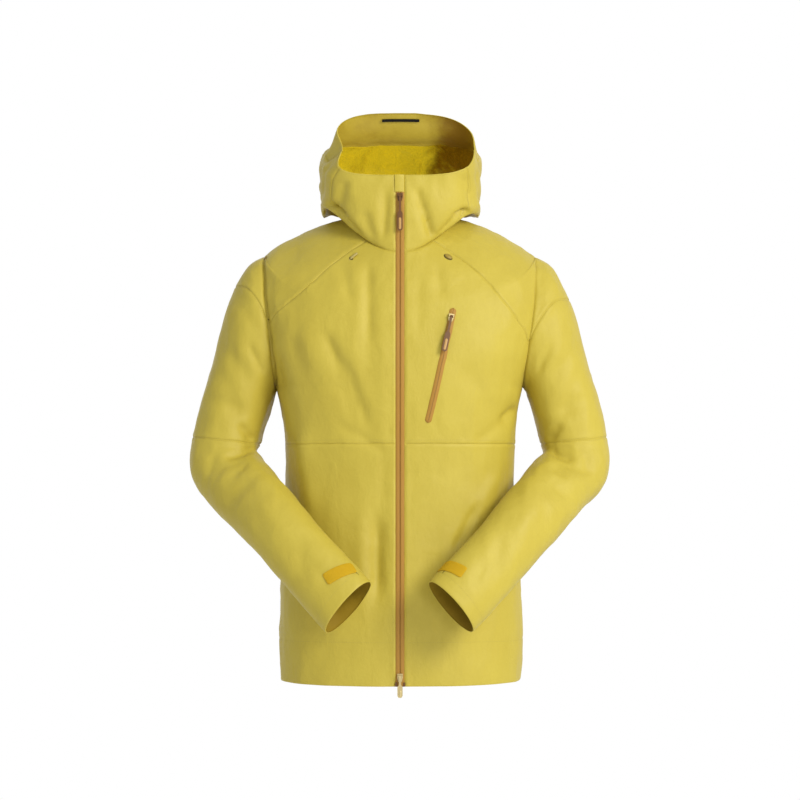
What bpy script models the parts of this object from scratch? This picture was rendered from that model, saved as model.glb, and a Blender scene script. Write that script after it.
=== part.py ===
"""A hooded waterproof shell jacket, filled out as if worn, with its forearms bent across the front.

Metres, +Z up. The front faces -Y and the wearer's left is +X. The origin is at the neck, level with
the high points of the shoulders, where the wearer holds the jacket up.
The torso, the sleeves and the hood are three tubes, each worked out from a table of cross sections.
Every cut piece is a stretch of one tube, given a wall and parted from its neighbours at the seams.
"""
import math
from collections import namedtuple

import bmesh
import bpy
import numpy as np
from mathutils import Matrix, Vector

# ---- driving dimensions, metres
WALL = 0.002                # laminated cloth, built as a stiff wall
SEAM_GAP = 0.0003           # between two pieces that are sewn together
LAID_ON = 0.0009            # from a panel's surface to what lies on it
ZIP_WIDTH = 0.0138          # main zip, both tapes together
ZIP_TOP = 0.031             # height at which the main zip ends under its garage
TAPE_WALL = 0.0012
POCKET_ZIP_WIDTH = 0.011
POCKET_TOP = (0.0843, -0.1615)       # x and z of the pocket zip's ends
POCKET_BOTTOM = (0.0452, -0.3437)
STRAP_WIDTH = 0.020
STRAP_WALL = 0.0015
ROW_STEP = 0.027            # spacing of the rows of mesh points up a tube
COLUMNS = 9                 # mesh columns in a quarter of the torso or hood
SLEEVE_COLUMNS = 20         # mesh columns round a sleeve

# ---- armhole: an upright egg that leans with the shoulder
ARMHOLE_STEPS = SLEEVE_COLUMNS // 2
ARMHOLE_TOP = -0.067
ARMHOLE_BOTTOM = -0.285
ARMHOLE_Y = 0.010
ARMHOLE_FRONT_REACH = 0.076
ARMHOLE_BACK_REACH = 0.074
# how far from the middle of the body the armhole lies, every 36 degrees from its top to its bottom
ARMHOLE_X = (0.2225, 0.2230, 0.2195, 0.2105, 0.2035, 0.2030)

# ---- torso sections; left and right are alike
TorsoRow = namedtuple("TorsoRow", "place front_y front_z side_x side_y side_z back_y back_z square")
LOWER_TORSO = (
    TorsoRow("hem", -0.131, -0.765, 0.1965, 0.005, -0.762, 0.135, -0.783, 2.5),
    TorsoRow("hem line", -0.132, -0.696, 0.1995, 0.005, -0.698, 0.136, -0.712, 2.5),
    TorsoRow("skirt", -0.131, -0.600, 0.1970, 0.005, -0.602, 0.131, -0.612, 2.5),
    TorsoRow("low waist", -0.127, -0.500, 0.1895, 0.004, -0.502, 0.120, -0.506, 2.5),
    TorsoRow("waist", -0.126, -0.430, 0.1870, 0.004, -0.432, 0.113, -0.432, 2.5),
    TorsoRow("seam", -0.129, -0.377, 0.1885, 0.004, -0.377, 0.115, -0.377, 2.5),
    TorsoRow("rib", -0.134, -0.330, 0.1940, 0.005, -0.328, 0.122, -0.328, 2.5),
    TorsoRow("armpit", -0.138, -0.290, 0.2030, 0.010, -0.285, 0.131, -0.280, 2.5),
)
SHOULDERS = (
    TorsoRow("shoulder point", -0.124, -0.150, 0.2225, 0.010, -0.067, 0.124, -0.080, 2.4),
    TorsoRow("outer shoulder", -0.119, -0.131, 0.2010, 0.012, -0.052, 0.119, -0.057, 2.3),
    TorsoRow("mid shoulder", -0.113, -0.112, 0.1730, 0.012, -0.036, 0.112, -0.040, 2.3),
    TorsoRow("inner shoulder", -0.105, -0.091, 0.1330, 0.011, -0.016, 0.100, -0.021, 2.2),
    TorsoRow("neck", -0.096, -0.065, 0.0800, 0.008, 0.000, 0.076, -0.005, 2.2),
)
CHEST_FULLNESS = 0.006      # how far the chest and shoulder blades stand out between those rows

# ---- hood sections, from the neck seam to the face opening
HoodRow = namedtuple("HoodRow", "place front_y front_z side_x side_y side_z back_y back_z "
                                "square_front square_back")
HOOD = (
    HoodRow("neck", -0.096, -0.065, 0.0800, 0.008, 0.000, 0.076, -0.005, 2.2, 2.2),
    HoodRow("stand", -0.097, -0.053, 0.0895, 0.009, 0.012, 0.086, 0.007, 2.3, 2.2),
    HoodRow("roll", -0.098, -0.042, 0.1120, 0.011, 0.013, 0.106, 0.010, 2.4, 2.3),
    HoodRow("droop", -0.099, -0.031, 0.1275, 0.013, -0.003, 0.124, 0.014, 2.5, 2.3),
    HoodRow("full side", -0.099, -0.018, 0.1335, 0.015, 0.016, 0.135, 0.038, 2.7, 2.4),
    HoodRow("nape", -0.100, 0.001, 0.1340, 0.013, 0.036, 0.139, 0.074, 2.8, 2.5),
    HoodRow("crown back", -0.100, 0.018, 0.1330, 0.006, 0.055, 0.118, 0.114, 2.9, 2.6),
    HoodRow("crown", -0.099, 0.033, 0.1310, -0.008, 0.073, 0.062, 0.136, 3.0, 2.8),
    HoodRow("brim seam", -0.098, 0.047, 0.1265, -0.036, 0.088, -0.004, 0.119, 3.2, 3.0),
    HoodRow("face opening", -0.097, 0.059, 0.1190, -0.066, 0.108, -0.040, 0.1665, 3.7, 2.6),
)
HOOD_SHIFT = 0.0012         # the hood has settled a little to the wearer's left
COLLAR_COLUMN = 5           # columns from the middle of the front to the collar's side seam
CENTRE_COLUMN = 14          # columns from the middle of the front to the hood's centre strip
BRIM_COLUMN = 8             # columns from the middle of the front to the brim band's end
BRIM_SEAM_ROW = 8
OVERHANG_ROWS = (0.5, 1.5, 2.5, 3.5)    # more rows of mesh where the hood rolls over the neck seam
ROLL_END = 5                # row at which the roll over the neck seam ends
STRAIGHT_TO = 4.5           # columns up to which the collar rises straight instead
ROLL_FROM = 7.4             # column from which the hood rolls over
COLLAR_FLARE = 1.6          # above 1, the collar widens first and then rises upright
NOTCH = {1: 0.014, -1: 0.022}   # how far the roll is lifted beside the collar, on each side
NOTCH_COLUMN = 7.0
NOTCH_ROW = 2.8
NOTCH_SPREAD = (1.5, 1.4)   # columns and rows
RIM_CURL = {1: 0.0, -1: 0.0245}  # how far the face opening's side is drawn in, on each side
RIM_CURL_COLUMN = 8.7
RIM_CURL_SPREAD = 3.2       # columns
RIM_CURL_ROWS = (7.6, 9.0)  # rows over which it grows

# ---- sleeve sections on the wearer's left, from the armhole to the cuff
# tilt turns a section from upright (0) to square with the sleeve's middle line (1)
SleeveRow = namedtuple("SleeveRow", "place out_x out_z in_x in_z mid_y depth square tilt")
SLEEVE = (
    SleeveRow("armhole", 0.2225, -0.067, 0.2030, -0.285, 0.011, 0.150, 2.0, 0.0),
    SleeveRow("cap", 0.2520, -0.087, 0.2075, -0.292, 0.012, 0.156, 2.1, 0.0),
    SleeveRow("cap seam", 0.2840, -0.150, 0.2115, -0.306, 0.013, 0.156, 2.2, 0.0),
    SleeveRow("mid arm", 0.3040, -0.222, 0.2175, -0.326, 0.014, 0.150, 2.3, 0.0),
    SleeveRow("low arm", 0.3240, -0.292, 0.2255, -0.350, 0.013, 0.143, 2.3, 0.0),
    SleeveRow("elbow seam", 0.3415, -0.365, 0.2330, -0.376, 0.007, 0.134, 2.3, 0.0),
    SleeveRow("elbow", 0.3445, -0.409, 0.2360, -0.388, -0.007, 0.126, 2.3, 0.1),
    SleeveRow("elbow end", 0.3280, -0.453, 0.2290, -0.397, -0.030, 0.118, 2.3, 0.25),
    SleeveRow("forearm", 0.2960, -0.485, 0.2120, -0.413, -0.062, 0.110, 2.3, 0.45),
    SleeveRow("mid forearm", 0.2490, -0.530, 0.1780, -0.450, -0.112, 0.100, 2.2, 0.75),
    SleeveRow("low forearm", 0.2000, -0.582, 0.1320, -0.505, -0.155, 0.090, 2.2, 1.0),
    SleeveRow("above cuff", 0.1540, -0.632, 0.0850, -0.553, -0.186, 0.078, 2.1, 1.0),
    SleeveRow("cuff", 0.1150, -0.673, 0.0465, -0.594, -0.208, 0.066, 2.0, 1.0),
)
ARMHOLE_BLEND = 3.0         # rows over which the sleeve takes on its own sections
ELBOW_SEAM_ROW = 5
# where the slanted cap seam crosses the top of the sleeve, and the column at which it meets the
# armhole: it hangs lower on the wearer's left (1) than on the right (-1)
CAP_SEAM_ROW = {1: 1.85, -1: 1.55}
CAP_SEAM_COLUMN = {1: 6, -1: 5}

# ---- the largest folds. A fold is a soft trough (negative depth) or ridge along a line that is seen
# from the front, back, left or right; across and up are x and z, or y and z from the sides
Fold = namedtuple("Fold", "seen across_0 up_0 across_1 up_1 half_width depth")
TORSO_FOLDS = (
    Fold("front", -0.050, -0.085, -0.052, -0.290, 0.016, -0.0030),
    Fold("front", -0.125, -0.210, -0.060, -0.350, 0.017, -0.0045),
    Fold("front", -0.178, -0.205, -0.155, -0.265, 0.014, -0.0040),
    Fold("front", -0.038, -0.485, -0.036, -0.640, 0.020, -0.0040),
    Fold("front", 0.060, -0.470, 0.050, -0.640, 0.022, -0.0030),
    Fold("front", 0.190, -0.315, 0.165, -0.345, 0.013, -0.0040),
    Fold("front", 0.118, -0.480, 0.090, -0.560, 0.018, -0.0040),
    Fold("front", -0.140, -0.600, -0.120, -0.740, 0.022, -0.0035),
    Fold("front", 0.140, -0.600, 0.125, -0.740, 0.022, -0.0035),
    Fold("back", -0.120, -0.150, -0.070, -0.290, 0.020, -0.0045),
    Fold("back", 0.115, -0.160, 0.075, -0.300, 0.020, -0.0045),
    Fold("back", -0.085, -0.400, -0.060, -0.660, 0.024, -0.0045),
    Fold("back", 0.080, -0.380, 0.070, -0.620, 0.024, -0.0045),
    Fold("back", -0.060, -0.345, 0.070, -0.360, 0.018, -0.0035),
)
SLEEVE_FOLDS = (
    Fold("front", 0.300, -0.200, 0.245, -0.275, 0.014, -0.0035),
    Fold("front", 0.315, -0.300, 0.250, -0.330, 0.013, -0.0035),
    Fold("front", 0.250, -0.405, 0.310, -0.420, 0.012, -0.0045),
    Fold("front", 0.235, -0.430, 0.285, -0.475, 0.013, -0.0040),
    Fold("front", 0.160, -0.520, 0.150, -0.590, 0.013, -0.0030),
    Fold("back", 0.300, -0.220, 0.240, -0.300, 0.015, -0.0040),
    Fold("back", 0.330, -0.360, 0.260, -0.385, 0.014, -0.0045),
    Fold("back", 0.320, -0.420, 0.250, -0.440, 0.014, -0.0040),
)
HOOD_FOLDS = (
    Fold("front", -0.022, 0.040, -0.028, -0.045, 0.010, -0.0030),
    Fold("front", 0.030, 0.020, 0.050, -0.045, 0.010, -0.0030),
    Fold("left", -0.040, 0.060, 0.060, 0.010, 0.014, -0.0045),
    Fold("right", -0.035, 0.065, 0.070, 0.020, 0.014, -0.0045),
    Fold("back", -0.070, 0.030, 0.070, 0.040, 0.014, -0.0045),
    Fold("back", -0.060, 0.080, 0.050, 0.074, 0.014, -0.0035),
)
FOLD_FADE_ROWS = 2.0        # folds die out over this many rows towards a neck or armhole seam

# ---- zip sliders and pull tabs
SLIDER_WIDTH = 0.009
SLIDER_LENGTH = 0.013
SLIDER_DEPTH = 0.0028
LUG_HEIGHT = 0.0034
LUG_WIDTH = 0.0011
PULL_WIDTH = 0.0048         # at its barrel; its grip is wider
PULL_NECK = 0.0034
PULL_GRIP = 0.0084
PULL_DEPTH = 0.0016
BARREL_RADIUS = 0.0017
PIN_RADIUS = 0.0007
PIN_CLEARANCE = 0.0003
TOP_PULL_LENGTH = 0.057
HEM_PULL_LENGTH = 0.034
POCKET_PULL_LENGTH = 0.060
ROUND_STEPS = 12

# ---- finishes: colour, roughness, metallic
Finish = namedtuple("Finish", "colour roughness metallic")
FINISHES = {
    "shell cloth": Finish((0.60, 0.47, 0.075), 0.55, 0.0),
    "gold strap": Finish((0.72, 0.44, 0.02), 0.70, 0.0),
    "zip tape": Finish((0.42, 0.22, 0.07), 0.50, 0.0),
    "dark pull": Finish((0.10, 0.035, 0.012), 0.40, 0.1),
    "bronze metal": Finish((0.60, 0.42, 0.20), 0.35, 0.8),
    "black tape": Finish((0.01, 0.01, 0.01), 0.70, 0.0),
}


def material(finish_name):
    """One Principled material for each finish."""
    if finish_name in bpy.data.materials:
        return bpy.data.materials[finish_name]
    finish = FINISHES[finish_name]
    made = bpy.data.materials.new(finish_name)
    made.use_nodes = True
    shader = made.node_tree.nodes["Principled BSDF"]
    shader.inputs["Base Color"].default_value = (*finish.colour, 1.0)
    shader.inputs["Roughness"].default_value = finish.roughness
    shader.inputs["Metallic"].default_value = finish.metallic
    return made


# ---- tables read as smooth curves
def smooth(rows, where):
    """Catmull-Rom curves through the rows (n by k numbers) at fractional row numbers."""
    rows = np.asarray(rows, float)
    where = np.asarray(where, float)
    below = np.clip(np.floor(where).astype(int), 0, len(rows) - 2)
    share = (where - below)[..., None]
    before = rows[np.maximum(below - 1, 0)]
    start = rows[below]
    end = rows[below + 1]
    after = rows[np.minimum(below + 2, len(rows) - 1)]
    return 0.5 * (2.0 * start + (end - before) * share
                  + (2.0 * before - 5.0 * start + 4.0 * end - after) * share ** 2
                  + (3.0 * start - before - 3.0 * end + after) * share ** 3)


def wrapped(column):
    """Column numbers brought between the middle of the back on one side and on the other."""
    half_way = 2.0 * COLUMNS
    return np.mod(np.asarray(column, float) + half_way, 2.0 * half_way) - half_way


def ease(value):
    """0 to 1 with a soft start and end."""
    value = np.clip(value, 0.0, 1.0)
    return value * value * (3.0 - 2.0 * value)


def rounded(angle, square):
    """Sine and cosine legs of a rounded square: 2 gives a circle, more gives squarer corners."""
    sine = np.sin(angle)
    cosine = np.cos(angle)
    reach = (np.abs(sine) ** square + np.abs(cosine) ** square) ** (-1.0 / square)
    return sine * reach, cosine * reach


# ---- torso
def armhole(half, degrees):
    """A point of the armhole on the wearer's left, at an angle from its top down to the armpit."""
    turn = np.radians(degrees)
    middle = (ARMHOLE_TOP + ARMHOLE_BOTTOM) / 2.0
    half_height = (ARMHOLE_TOP - ARMHOLE_BOTTOM) / 2.0
    reach = -ARMHOLE_FRONT_REACH if half == "front" else ARMHOLE_BACK_REACH
    x = smooth(np.array(ARMHOLE_X)[:, None], np.asarray(degrees) / 36.0)[..., 0]
    y = ARMHOLE_Y + reach * np.sin(turn) * (1.0 - 0.12 * np.cos(turn))
    z = middle + half_height * np.cos(turn)
    return x, y, z


def torso_rows(half):
    """Rows from the hem to the neck: centre y and z, edge x, y and z, squareness and turn.
    Between the armpit and the shoulder point the edge runs up the armhole."""
    def plain(row):
        centre = (row.front_y, row.front_z) if half == "front" else (row.back_y, row.back_z)
        return (*centre, row.side_x, row.side_y, row.side_z, row.square, 1.0)

    low = plain(LOWER_TORSO[-1])
    high = plain(SHOULDERS[0])
    outward = -1.0 if half == "front" else 1.0
    rows = [plain(row) for row in LOWER_TORSO]
    for step in range(1, ARMHOLE_STEPS):
        share = step / ARMHOLE_STEPS
        arch = math.sin(math.pi * share)
        centre_y = low[0] + (high[0] - low[0]) * share + outward * CHEST_FULLNESS * arch
        centre_z = low[1] + (high[1] - low[1]) * share
        edge = armhole(half, 180.0 * (1.0 - share))
        square = low[5] + (high[5] - low[5]) * share
        rows.append((centre_y, centre_z, *(float(value) for value in edge), square,
                     1.0 - 0.30 * arch))
    rows += [plain(row) for row in SHOULDERS]
    return np.array(rows)


TORSO_ROWS = {half: torso_rows(half) for half in ("front", "back")}
EDGE = slice(2, 5)          # the edge's x, y and z within a row
ARMPIT_ROW = len(LOWER_TORSO) - 1
SHOULDER_ROW = ARMPIT_ROW + ARMHOLE_STEPS
NECK_ROW = SHOULDER_ROW + len(SHOULDERS) - 1
SEAM_ROW = [row.place for row in LOWER_TORSO].index("seam")
RIDGE_ROUNDING = 1.5        # above 1, the cloth runs level over the shoulder ridge


def quarter(values, share):
    """A point of a section between its centre (share 0) and its edge (share 1)."""
    centre_y, centre_z, edge_x, edge_y, edge_z, square, turn = np.moveaxis(values, -1, 0)
    across, along = rounded(0.5 * math.pi * share * turn, square)
    across_end, along_end = rounded(0.5 * math.pi * turn, square)
    width = across / across_end
    depth = (along - along_end) / (1.0 - along_end)
    return edge_x * width, edge_y + (centre_y - edge_y) * depth, edge_z, centre_z - edge_z, depth


def torso_values(half, row):
    """A row of the torso. Its edge bends at the armpit and at the shoulder point, so that front and
    back keep one side seam and one shoulder seam."""
    rows = TORSO_ROWS[half]
    values = smooth(rows, row)
    for start, end in ((0, ARMPIT_ROW), (ARMPIT_ROW, SHOULDER_ROW), (SHOULDER_ROW, NECK_ROW)):
        inside = (row >= start) & (row <= end)
        edge = smooth(rows[start:end + 1, EDGE], row - start)
        values[..., EDGE] = np.where(inside[..., None], edge, values[..., EDGE])
    return values


def section_point(values, share, side, rounding):
    """A point of a quarter section."""
    x, y, edge_z, drop, depth = quarter(values, share)
    z = edge_z + drop * np.sign(depth) * np.abs(depth) ** rounding
    return np.stack([x * side, y, z], axis=-1)


def torso_base(half):
    """The front or back of the torso before its folds. Columns count from 0 at the middle of the
    front to 2 * COLUMNS at the middle of the back, and are negative on the wearer's right."""
    def base(row, column):
        row = np.asarray(row, float)
        column = wrapped(column)
        share = np.abs(column) / COLUMNS
        share = share if half == "front" else 2.0 - share
        rounding = 1.0 + (RIDGE_ROUNDING - 1.0) * ease((row - SHOULDER_ROW + 3.0) / 3.0)
        side = np.where(column < 0, -1.0, 1.0)
        return section_point(torso_values(half, row), share, side, rounding)
    return base


def torso_fade(row, column):
    """Folds die out towards the neck seam and towards the armhole's edge."""
    from_neck = ease((NECK_ROW - row) / FOLD_FADE_ROWS)
    in_armhole = ease(row - ARMPIT_ROW + 1.0) * ease(SHOULDER_ROW + 1.0 - row)
    from_edge = ease(np.abs(np.abs(column) - COLUMNS) / FOLD_FADE_ROWS)
    return from_neck * (1.0 - in_armhole * (1.0 - from_edge))


# ---- hood
def hood_rows(half):
    """Rows from the neck seam to the face opening, as torso_rows gives them."""
    rows = []
    for row in HOOD:
        front = half == "front"
        centre = (row.front_y, row.front_z) if front else (row.back_y, row.back_z)
        square = row.square_front if front else row.square_back
        rows.append((*centre, row.side_x, row.side_y, row.side_z, square, 1.0))
    return np.array(rows)


HOOD_ROWS = {half: hood_rows(half) for half in ("front", "back")}
OPENING_ROW = len(HOOD) - 1


def hood_section(row, column):
    """The hood as its table gives it, alike on both sides."""
    size = np.abs(column)
    side = np.where(column < 0, -1.0, 1.0)
    rounding = 1.0 + (RIDGE_ROUNDING - 1.0) * ease(1.0 - row)
    front = section_point(smooth(HOOD_ROWS["front"], row), size / COLUMNS, side, rounding)
    back = section_point(smooth(HOOD_ROWS["back"], row), 2.0 - size / COLUMNS, side, rounding)
    return np.where((size <= COLUMNS)[..., None], front, back)


def bell(value, width):
    """1 at 0, falling off softly to both sides."""
    return np.exp(-(value / width) ** 2)


def by_side(values, column):
    """The value for the side of the body on which a column lies."""
    return np.where(column < 0, values[-1], values[1])


def hood_base(row, column):
    """The hood before its folds, with the torso's columns. The collar rises straight at the front;
    beside it the hood rolls over the neck seam, higher where it leaves the collar. The side of the
    face opening is drawn in on the wearer's right."""
    row = np.asarray(row, float)
    column = wrapped(column)
    size = np.abs(column)
    points = hood_section(row, column)
    low = hood_section(np.zeros_like(row + size), column)
    high = hood_section(np.full_like(row + size, ROLL_END), column)
    share = np.minimum(row / ROLL_END, 1.0)
    flare = 1.0 - (1.0 - share) ** COLLAR_FLARE
    shares = np.stack(np.broadcast_arrays(flare, share, share + 0.0 * size), axis=-1)
    weight = ease((ROLL_FROM - size) / (ROLL_FROM - STRAIGHT_TO)) * (row < ROLL_END)
    points += (low + (high - low) * shares - points) * weight[..., None]
    lift = by_side(NOTCH, column) * bell(size - NOTCH_COLUMN, NOTCH_SPREAD[0])
    lift = lift * bell(row - NOTCH_ROW, NOTCH_SPREAD[1])
    curl = by_side(RIM_CURL, column) * bell(size - RIM_CURL_COLUMN, RIM_CURL_SPREAD)
    start, end = RIM_CURL_ROWS
    points[..., 0] += HOOD_SHIFT * ease(row / 3.0) * ease(size / 2.0)
    points[..., 0] += curl * ease((row - start) / (end - start))
    points[..., 2] += lift * ease(row)
    return points


def hood_fade(row, column):
    """Folds die out towards the neck seam and the face opening."""
    return ease(row / FOLD_FADE_ROWS) * ease((OPENING_ROW - row) / FOLD_FADE_ROWS + 0.3)


# ---- sleeves
SLEEVE_ROWS = np.array([row[1:] for row in SLEEVE])
CUFF_ROW = len(SLEEVE) - 1


def sleeve_section(row, degrees):
    """A rounded section of the sleeve. 0 degrees is its outer side, 90 its front, 180 its inner
    side and 270 its back."""
    def middle(where):
        values = smooth(SLEEVE_ROWS, where)
        return np.stack([(values[..., 0] + values[..., 2]) / 2.0, values[..., 4],
                         (values[..., 1] + values[..., 3]) / 2.0], axis=-1)

    step = 0.05
    values = smooth(SLEEVE_ROWS, row)
    along = middle(row + step) - middle(row - step)
    flat = np.zeros_like(values[..., 0])
    outward = np.stack([(values[..., 0] - values[..., 2]) / 2.0, flat,
                        (values[..., 1] - values[..., 3]) / 2.0], axis=-1)
    forward = np.cross(outward, along)
    forward /= np.linalg.norm(forward, axis=-1, keepdims=True)
    forward *= np.where(forward[..., 1:2] > 0, -1.0, 1.0)
    tilt = values[..., 7:8]
    forward = forward * tilt + np.array([0.0, -1.0, 0.0]) * (1.0 - tilt)
    forward /= np.linalg.norm(forward, axis=-1, keepdims=True)
    across, up = rounded(np.radians(degrees), values[..., 6])
    return (middle(row) + outward * up[..., None]
            + forward * (values[..., 5] / 2.0 * across)[..., None])


def armhole_ring(degrees):
    """The armhole as a closed curve, by the sleeve's angles."""
    degrees = np.mod(degrees, 360.0)
    front = np.stack(armhole("front", np.minimum(degrees, 180.0)), axis=-1)
    back = np.stack(armhole("back", np.minimum(360.0 - degrees, 180.0)), axis=-1)
    return np.where((degrees <= 180.0)[..., None], front, back)


def sleeve_base(side):
    """The sleeve before its folds; side is 1 on the wearer's left and -1 on the right."""
    def base(row, column):
        row = np.asarray(row, float)
        degrees = np.asarray(column, float) * 360.0 / SLEEVE_COLUMNS
        points = sleeve_section(row, degrees)
        first = sleeve_section(np.zeros_like(row), degrees)
        blend = 1.0 - ease(row / ARMHOLE_BLEND)
        points = points + (armhole_ring(degrees) - first) * blend[..., None]
        return points * np.array([side, 1.0, 1.0])
    return base


def sleeve_fade(row, column):
    """Folds die out towards the armhole and the cuff."""
    return ease(row / FOLD_FADE_ROWS) * ease((CUFF_ROW - row) / FOLD_FADE_ROWS + 0.2)


# ---- surfaces with folds, and their normals
VIEWS = {"front": (0, 1, -1.0), "back": (0, 1, 1.0), "left": (1, 0, 1.0), "right": (1, 0, -1.0)}


def fold_height(folds, points, normals):
    """Each fold's depth, falling off softly across its line and towards its ends, on the side of
    the surface that faces the view in which the fold is given."""
    height = np.zeros(points.shape[:-1])
    for fold in folds:
        across_axis, view_axis, sign = VIEWS[fold.seen]
        across = points[..., across_axis] - fold.across_0
        up = points[..., 2] - fold.up_0
        run_across = fold.across_1 - fold.across_0
        run_up = fold.up_1 - fold.up_0
        length = math.hypot(run_across, run_up)
        along = (across * run_across + up * run_up) / length
        beside = (across * run_up - up * run_across) / length
        past_end = np.maximum(np.abs(along - length / 2.0) - length / 4.0, 0.0)
        taper = np.exp(-(past_end / (length / 4.0)) ** 2)
        facing = ease(sign * normals[..., view_axis] * 2.0)
        height += fold.depth * taper * facing * np.exp(-(beside / fold.half_width) ** 2)
    return height


def surface_normals(surface, row, column, outside):
    """Unit normals from small steps along the surface; outside is 1 or -1."""
    step = 0.02
    along = surface(row + step, column) - surface(row - step, column)
    around = surface(row, column + step) - surface(row, column - step)
    normals = np.cross(around, along) * outside
    return normals / np.linalg.norm(normals, axis=-1, keepdims=True)


def folded(base, folds, fade, outside):
    """A base surface with its folds pushed in or out along the base's normals."""
    def surface(row, column):
        points = base(row, column)
        normals = surface_normals(base, row, column, outside)
        height = fold_height(folds, points, normals) * fade(row, column)
        return points + normals * height[..., None]
    return surface


def mirrored_folds(folds, side):
    """The same folds on the other side of the body."""
    return [fold._replace(across_0=fold.across_0 * side, across_1=fold.across_1 * side)
            for fold in folds]


Tube = namedtuple("Tube", "name surface outside")
TORSO = {half: Tube(half, folded(torso_base(half), TORSO_FOLDS, torso_fade, 1.0), 1.0)
         for half in ("front", "back")}
HOOD_TUBE = Tube("hood", folded(hood_base, HOOD_FOLDS, hood_fade, 1.0), 1.0)
SLEEVES = {side: Tube("sleeve", folded(sleeve_base(side), mirrored_folds(SLEEVE_FOLDS, side),
                                       sleeve_fade, side), side)
           for side in (1, -1)}


def across_seam(tube, row, column):
    """The tube, row and column that meet a point of an armhole or neck seam from its other side,
    or None anywhere else."""
    if tube.name == "sleeve":
        if row > 0.0:
            return None
        step = column % SLEEVE_COLUMNS
        half = "front" if step <= ARMHOLE_STEPS else "back"
        step = step if half == "front" else SLEEVE_COLUMNS - step
        return TORSO[half], SHOULDER_ROW - step, COLUMNS * tube.outside
    if tube.name == "hood":
        if row > 0.0:
            return None
        return TORSO["front" if abs(column) <= COLUMNS else "back"], NECK_ROW, column
    if row == NECK_ROW:
        return HOOD_TUBE, 0.0, column
    if abs(column) == COLUMNS and ARMPIT_ROW < row < SHOULDER_ROW:
        step = SHOULDER_ROW - row
        step = step if tube.name == "front" else SLEEVE_COLUMNS - step
        return SLEEVES[1 if column > 0 else -1], 0.0, step
    return None


def sheet_normals(tube, rows, columns):
    """Normals of a sheet's points. On a seam between two tubes both sides take the mean normal, so
    that their walls meet in one plane."""
    normals = surface_normals(tube.surface, rows, columns, tube.outside)
    for index, (row, column) in enumerate(zip(rows, columns)):
        other = across_seam(tube, row, column)
        if other:
            partner, partner_row, partner_column = other
            mean = normals[index] + surface_normals(partner.surface, np.array(float(partner_row)),
                                                    np.array(float(partner_column)),
                                                    partner.outside)
            normals[index] = mean / np.linalg.norm(mean)
    return normals


# ---- sheets of cloth
def stations(tube, column, first, last):
    """Row numbers from first to last at every whole row and about ROW_STEP apart between."""
    whole = np.arange(first, last + 1)
    points = tube.surface(whole.astype(float), np.full(len(whole), float(column)))
    gaps = np.linalg.norm(np.diff(points, axis=0), axis=1)
    rows = [float(first)]
    for start, gap in zip(whole[:-1], gaps):
        parts = max(1, round(gap / ROW_STEP))
        rows += [float(start) + part / parts for part in range(1, parts + 1)]
    return rows


def between(rows, low, high):
    """The rows between two ends, with the ends themselves and none crowding them."""
    low, high = float(low), float(high)
    if high - low < 1e-6:
        return [low]
    room = 0.35 * min(1.0, high - low)
    inner = [row for row in rows if low + room * 0.5 < row < high - room * 0.5]
    return [low] + inner + [high]


def strips_of(columns, closed=False):
    """Strips between neighbouring columns, each (column, its rows, next column, its rows)."""
    pairs = list(zip(columns, columns[1:]))
    if closed:
        pairs.append((columns[-1], columns[0]))
    return [(*left, *right) for left, right in pairs]


def sheet(tube, strips):
    """Points, normals and triangles of a sheet made of strips. The two sides of a strip may hold
    different numbers of points, and it is split along the shorter diagonals."""
    places = {}
    for left, left_rows, right, right_rows in strips:
        for column, rows in ((left, left_rows), (right, right_rows)):
            for row in rows:
                places.setdefault((column, round(row, 6)), len(places))
    columns = np.array([column for column, row in places], float)
    rows = np.array([row for column, row in places], float)
    points = tube.surface(rows, columns)
    normals = sheet_normals(tube, rows, columns)
    faces = []
    for left, left_rows, right, right_rows in strips:
        a = [places[left, round(row, 6)] for row in left_rows]
        b = [places[right, round(row, 6)] for row in right_rows]
        while len(a) > 1 or len(b) > 1:
            step_a = np.linalg.norm(points[a[1]] - points[b[0]]) if len(a) > 1 else np.inf
            step_b = np.linalg.norm(points[b[1]] - points[a[0]]) if len(b) > 1 else np.inf
            if step_a < step_b:
                faces.append((a[0], b[0], a[1]))
                a = a[1:]
            else:
                faces.append((a[0], b[0], b[1]))
                b = b[1:]
    a, b, c = np.array(faces).T
    facing = np.cross(points[b] - points[a], points[c] - points[a])
    if np.sum(facing * normals[a]) < 0:
        faces = [(first, third, second) for first, second, third in faces]
    return points, normals, faces


def border_edges(faces):
    """Edges that only one triangle uses, in that triangle's own direction."""
    sides = {(face[i], face[(i + 1) % 3]) for face in faces for i in range(3)}
    return [edge for edge in sides if (edge[1], edge[0]) not in sides]


def drawn_in(points, normals, faces, distance):
    """Points with every border moved inwards by a distance, so that a seam leaves a gap."""
    shift = np.zeros_like(points)
    for start, end in sorted(border_edges(faces)):
        run = points[end] - points[start]
        normal = normals[start] + normals[end]
        inward = np.cross(normal, run)
        inward /= np.linalg.norm(inward)
        for index in (start, end):
            other = shift[index]
            if not other.any():
                shift[index] = inward
            else:
                mean = other + inward
                shift[index] = mean / max(0.35, np.dot(mean, inward))
    return points + shift * distance


def mesh_object(name, points, faces, finish_name, smooth_angle=40.0):
    """An object from points and faces, shaded smooth but for sharp edges."""
    mesh = bpy.data.meshes.new(name)
    mesh.from_pydata([tuple(point) for point in points], [], faces)
    mesh.materials.append(material(finish_name))
    mesh.shade_smooth()
    mesh.set_sharp_from_angle(angle=math.radians(smooth_angle))
    made = bpy.data.objects.new(name, mesh)
    bpy.context.scene.collection.objects.link(made)
    return made


RIM_ORDER = np.array([1.0, 2.3, 3.7])


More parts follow.
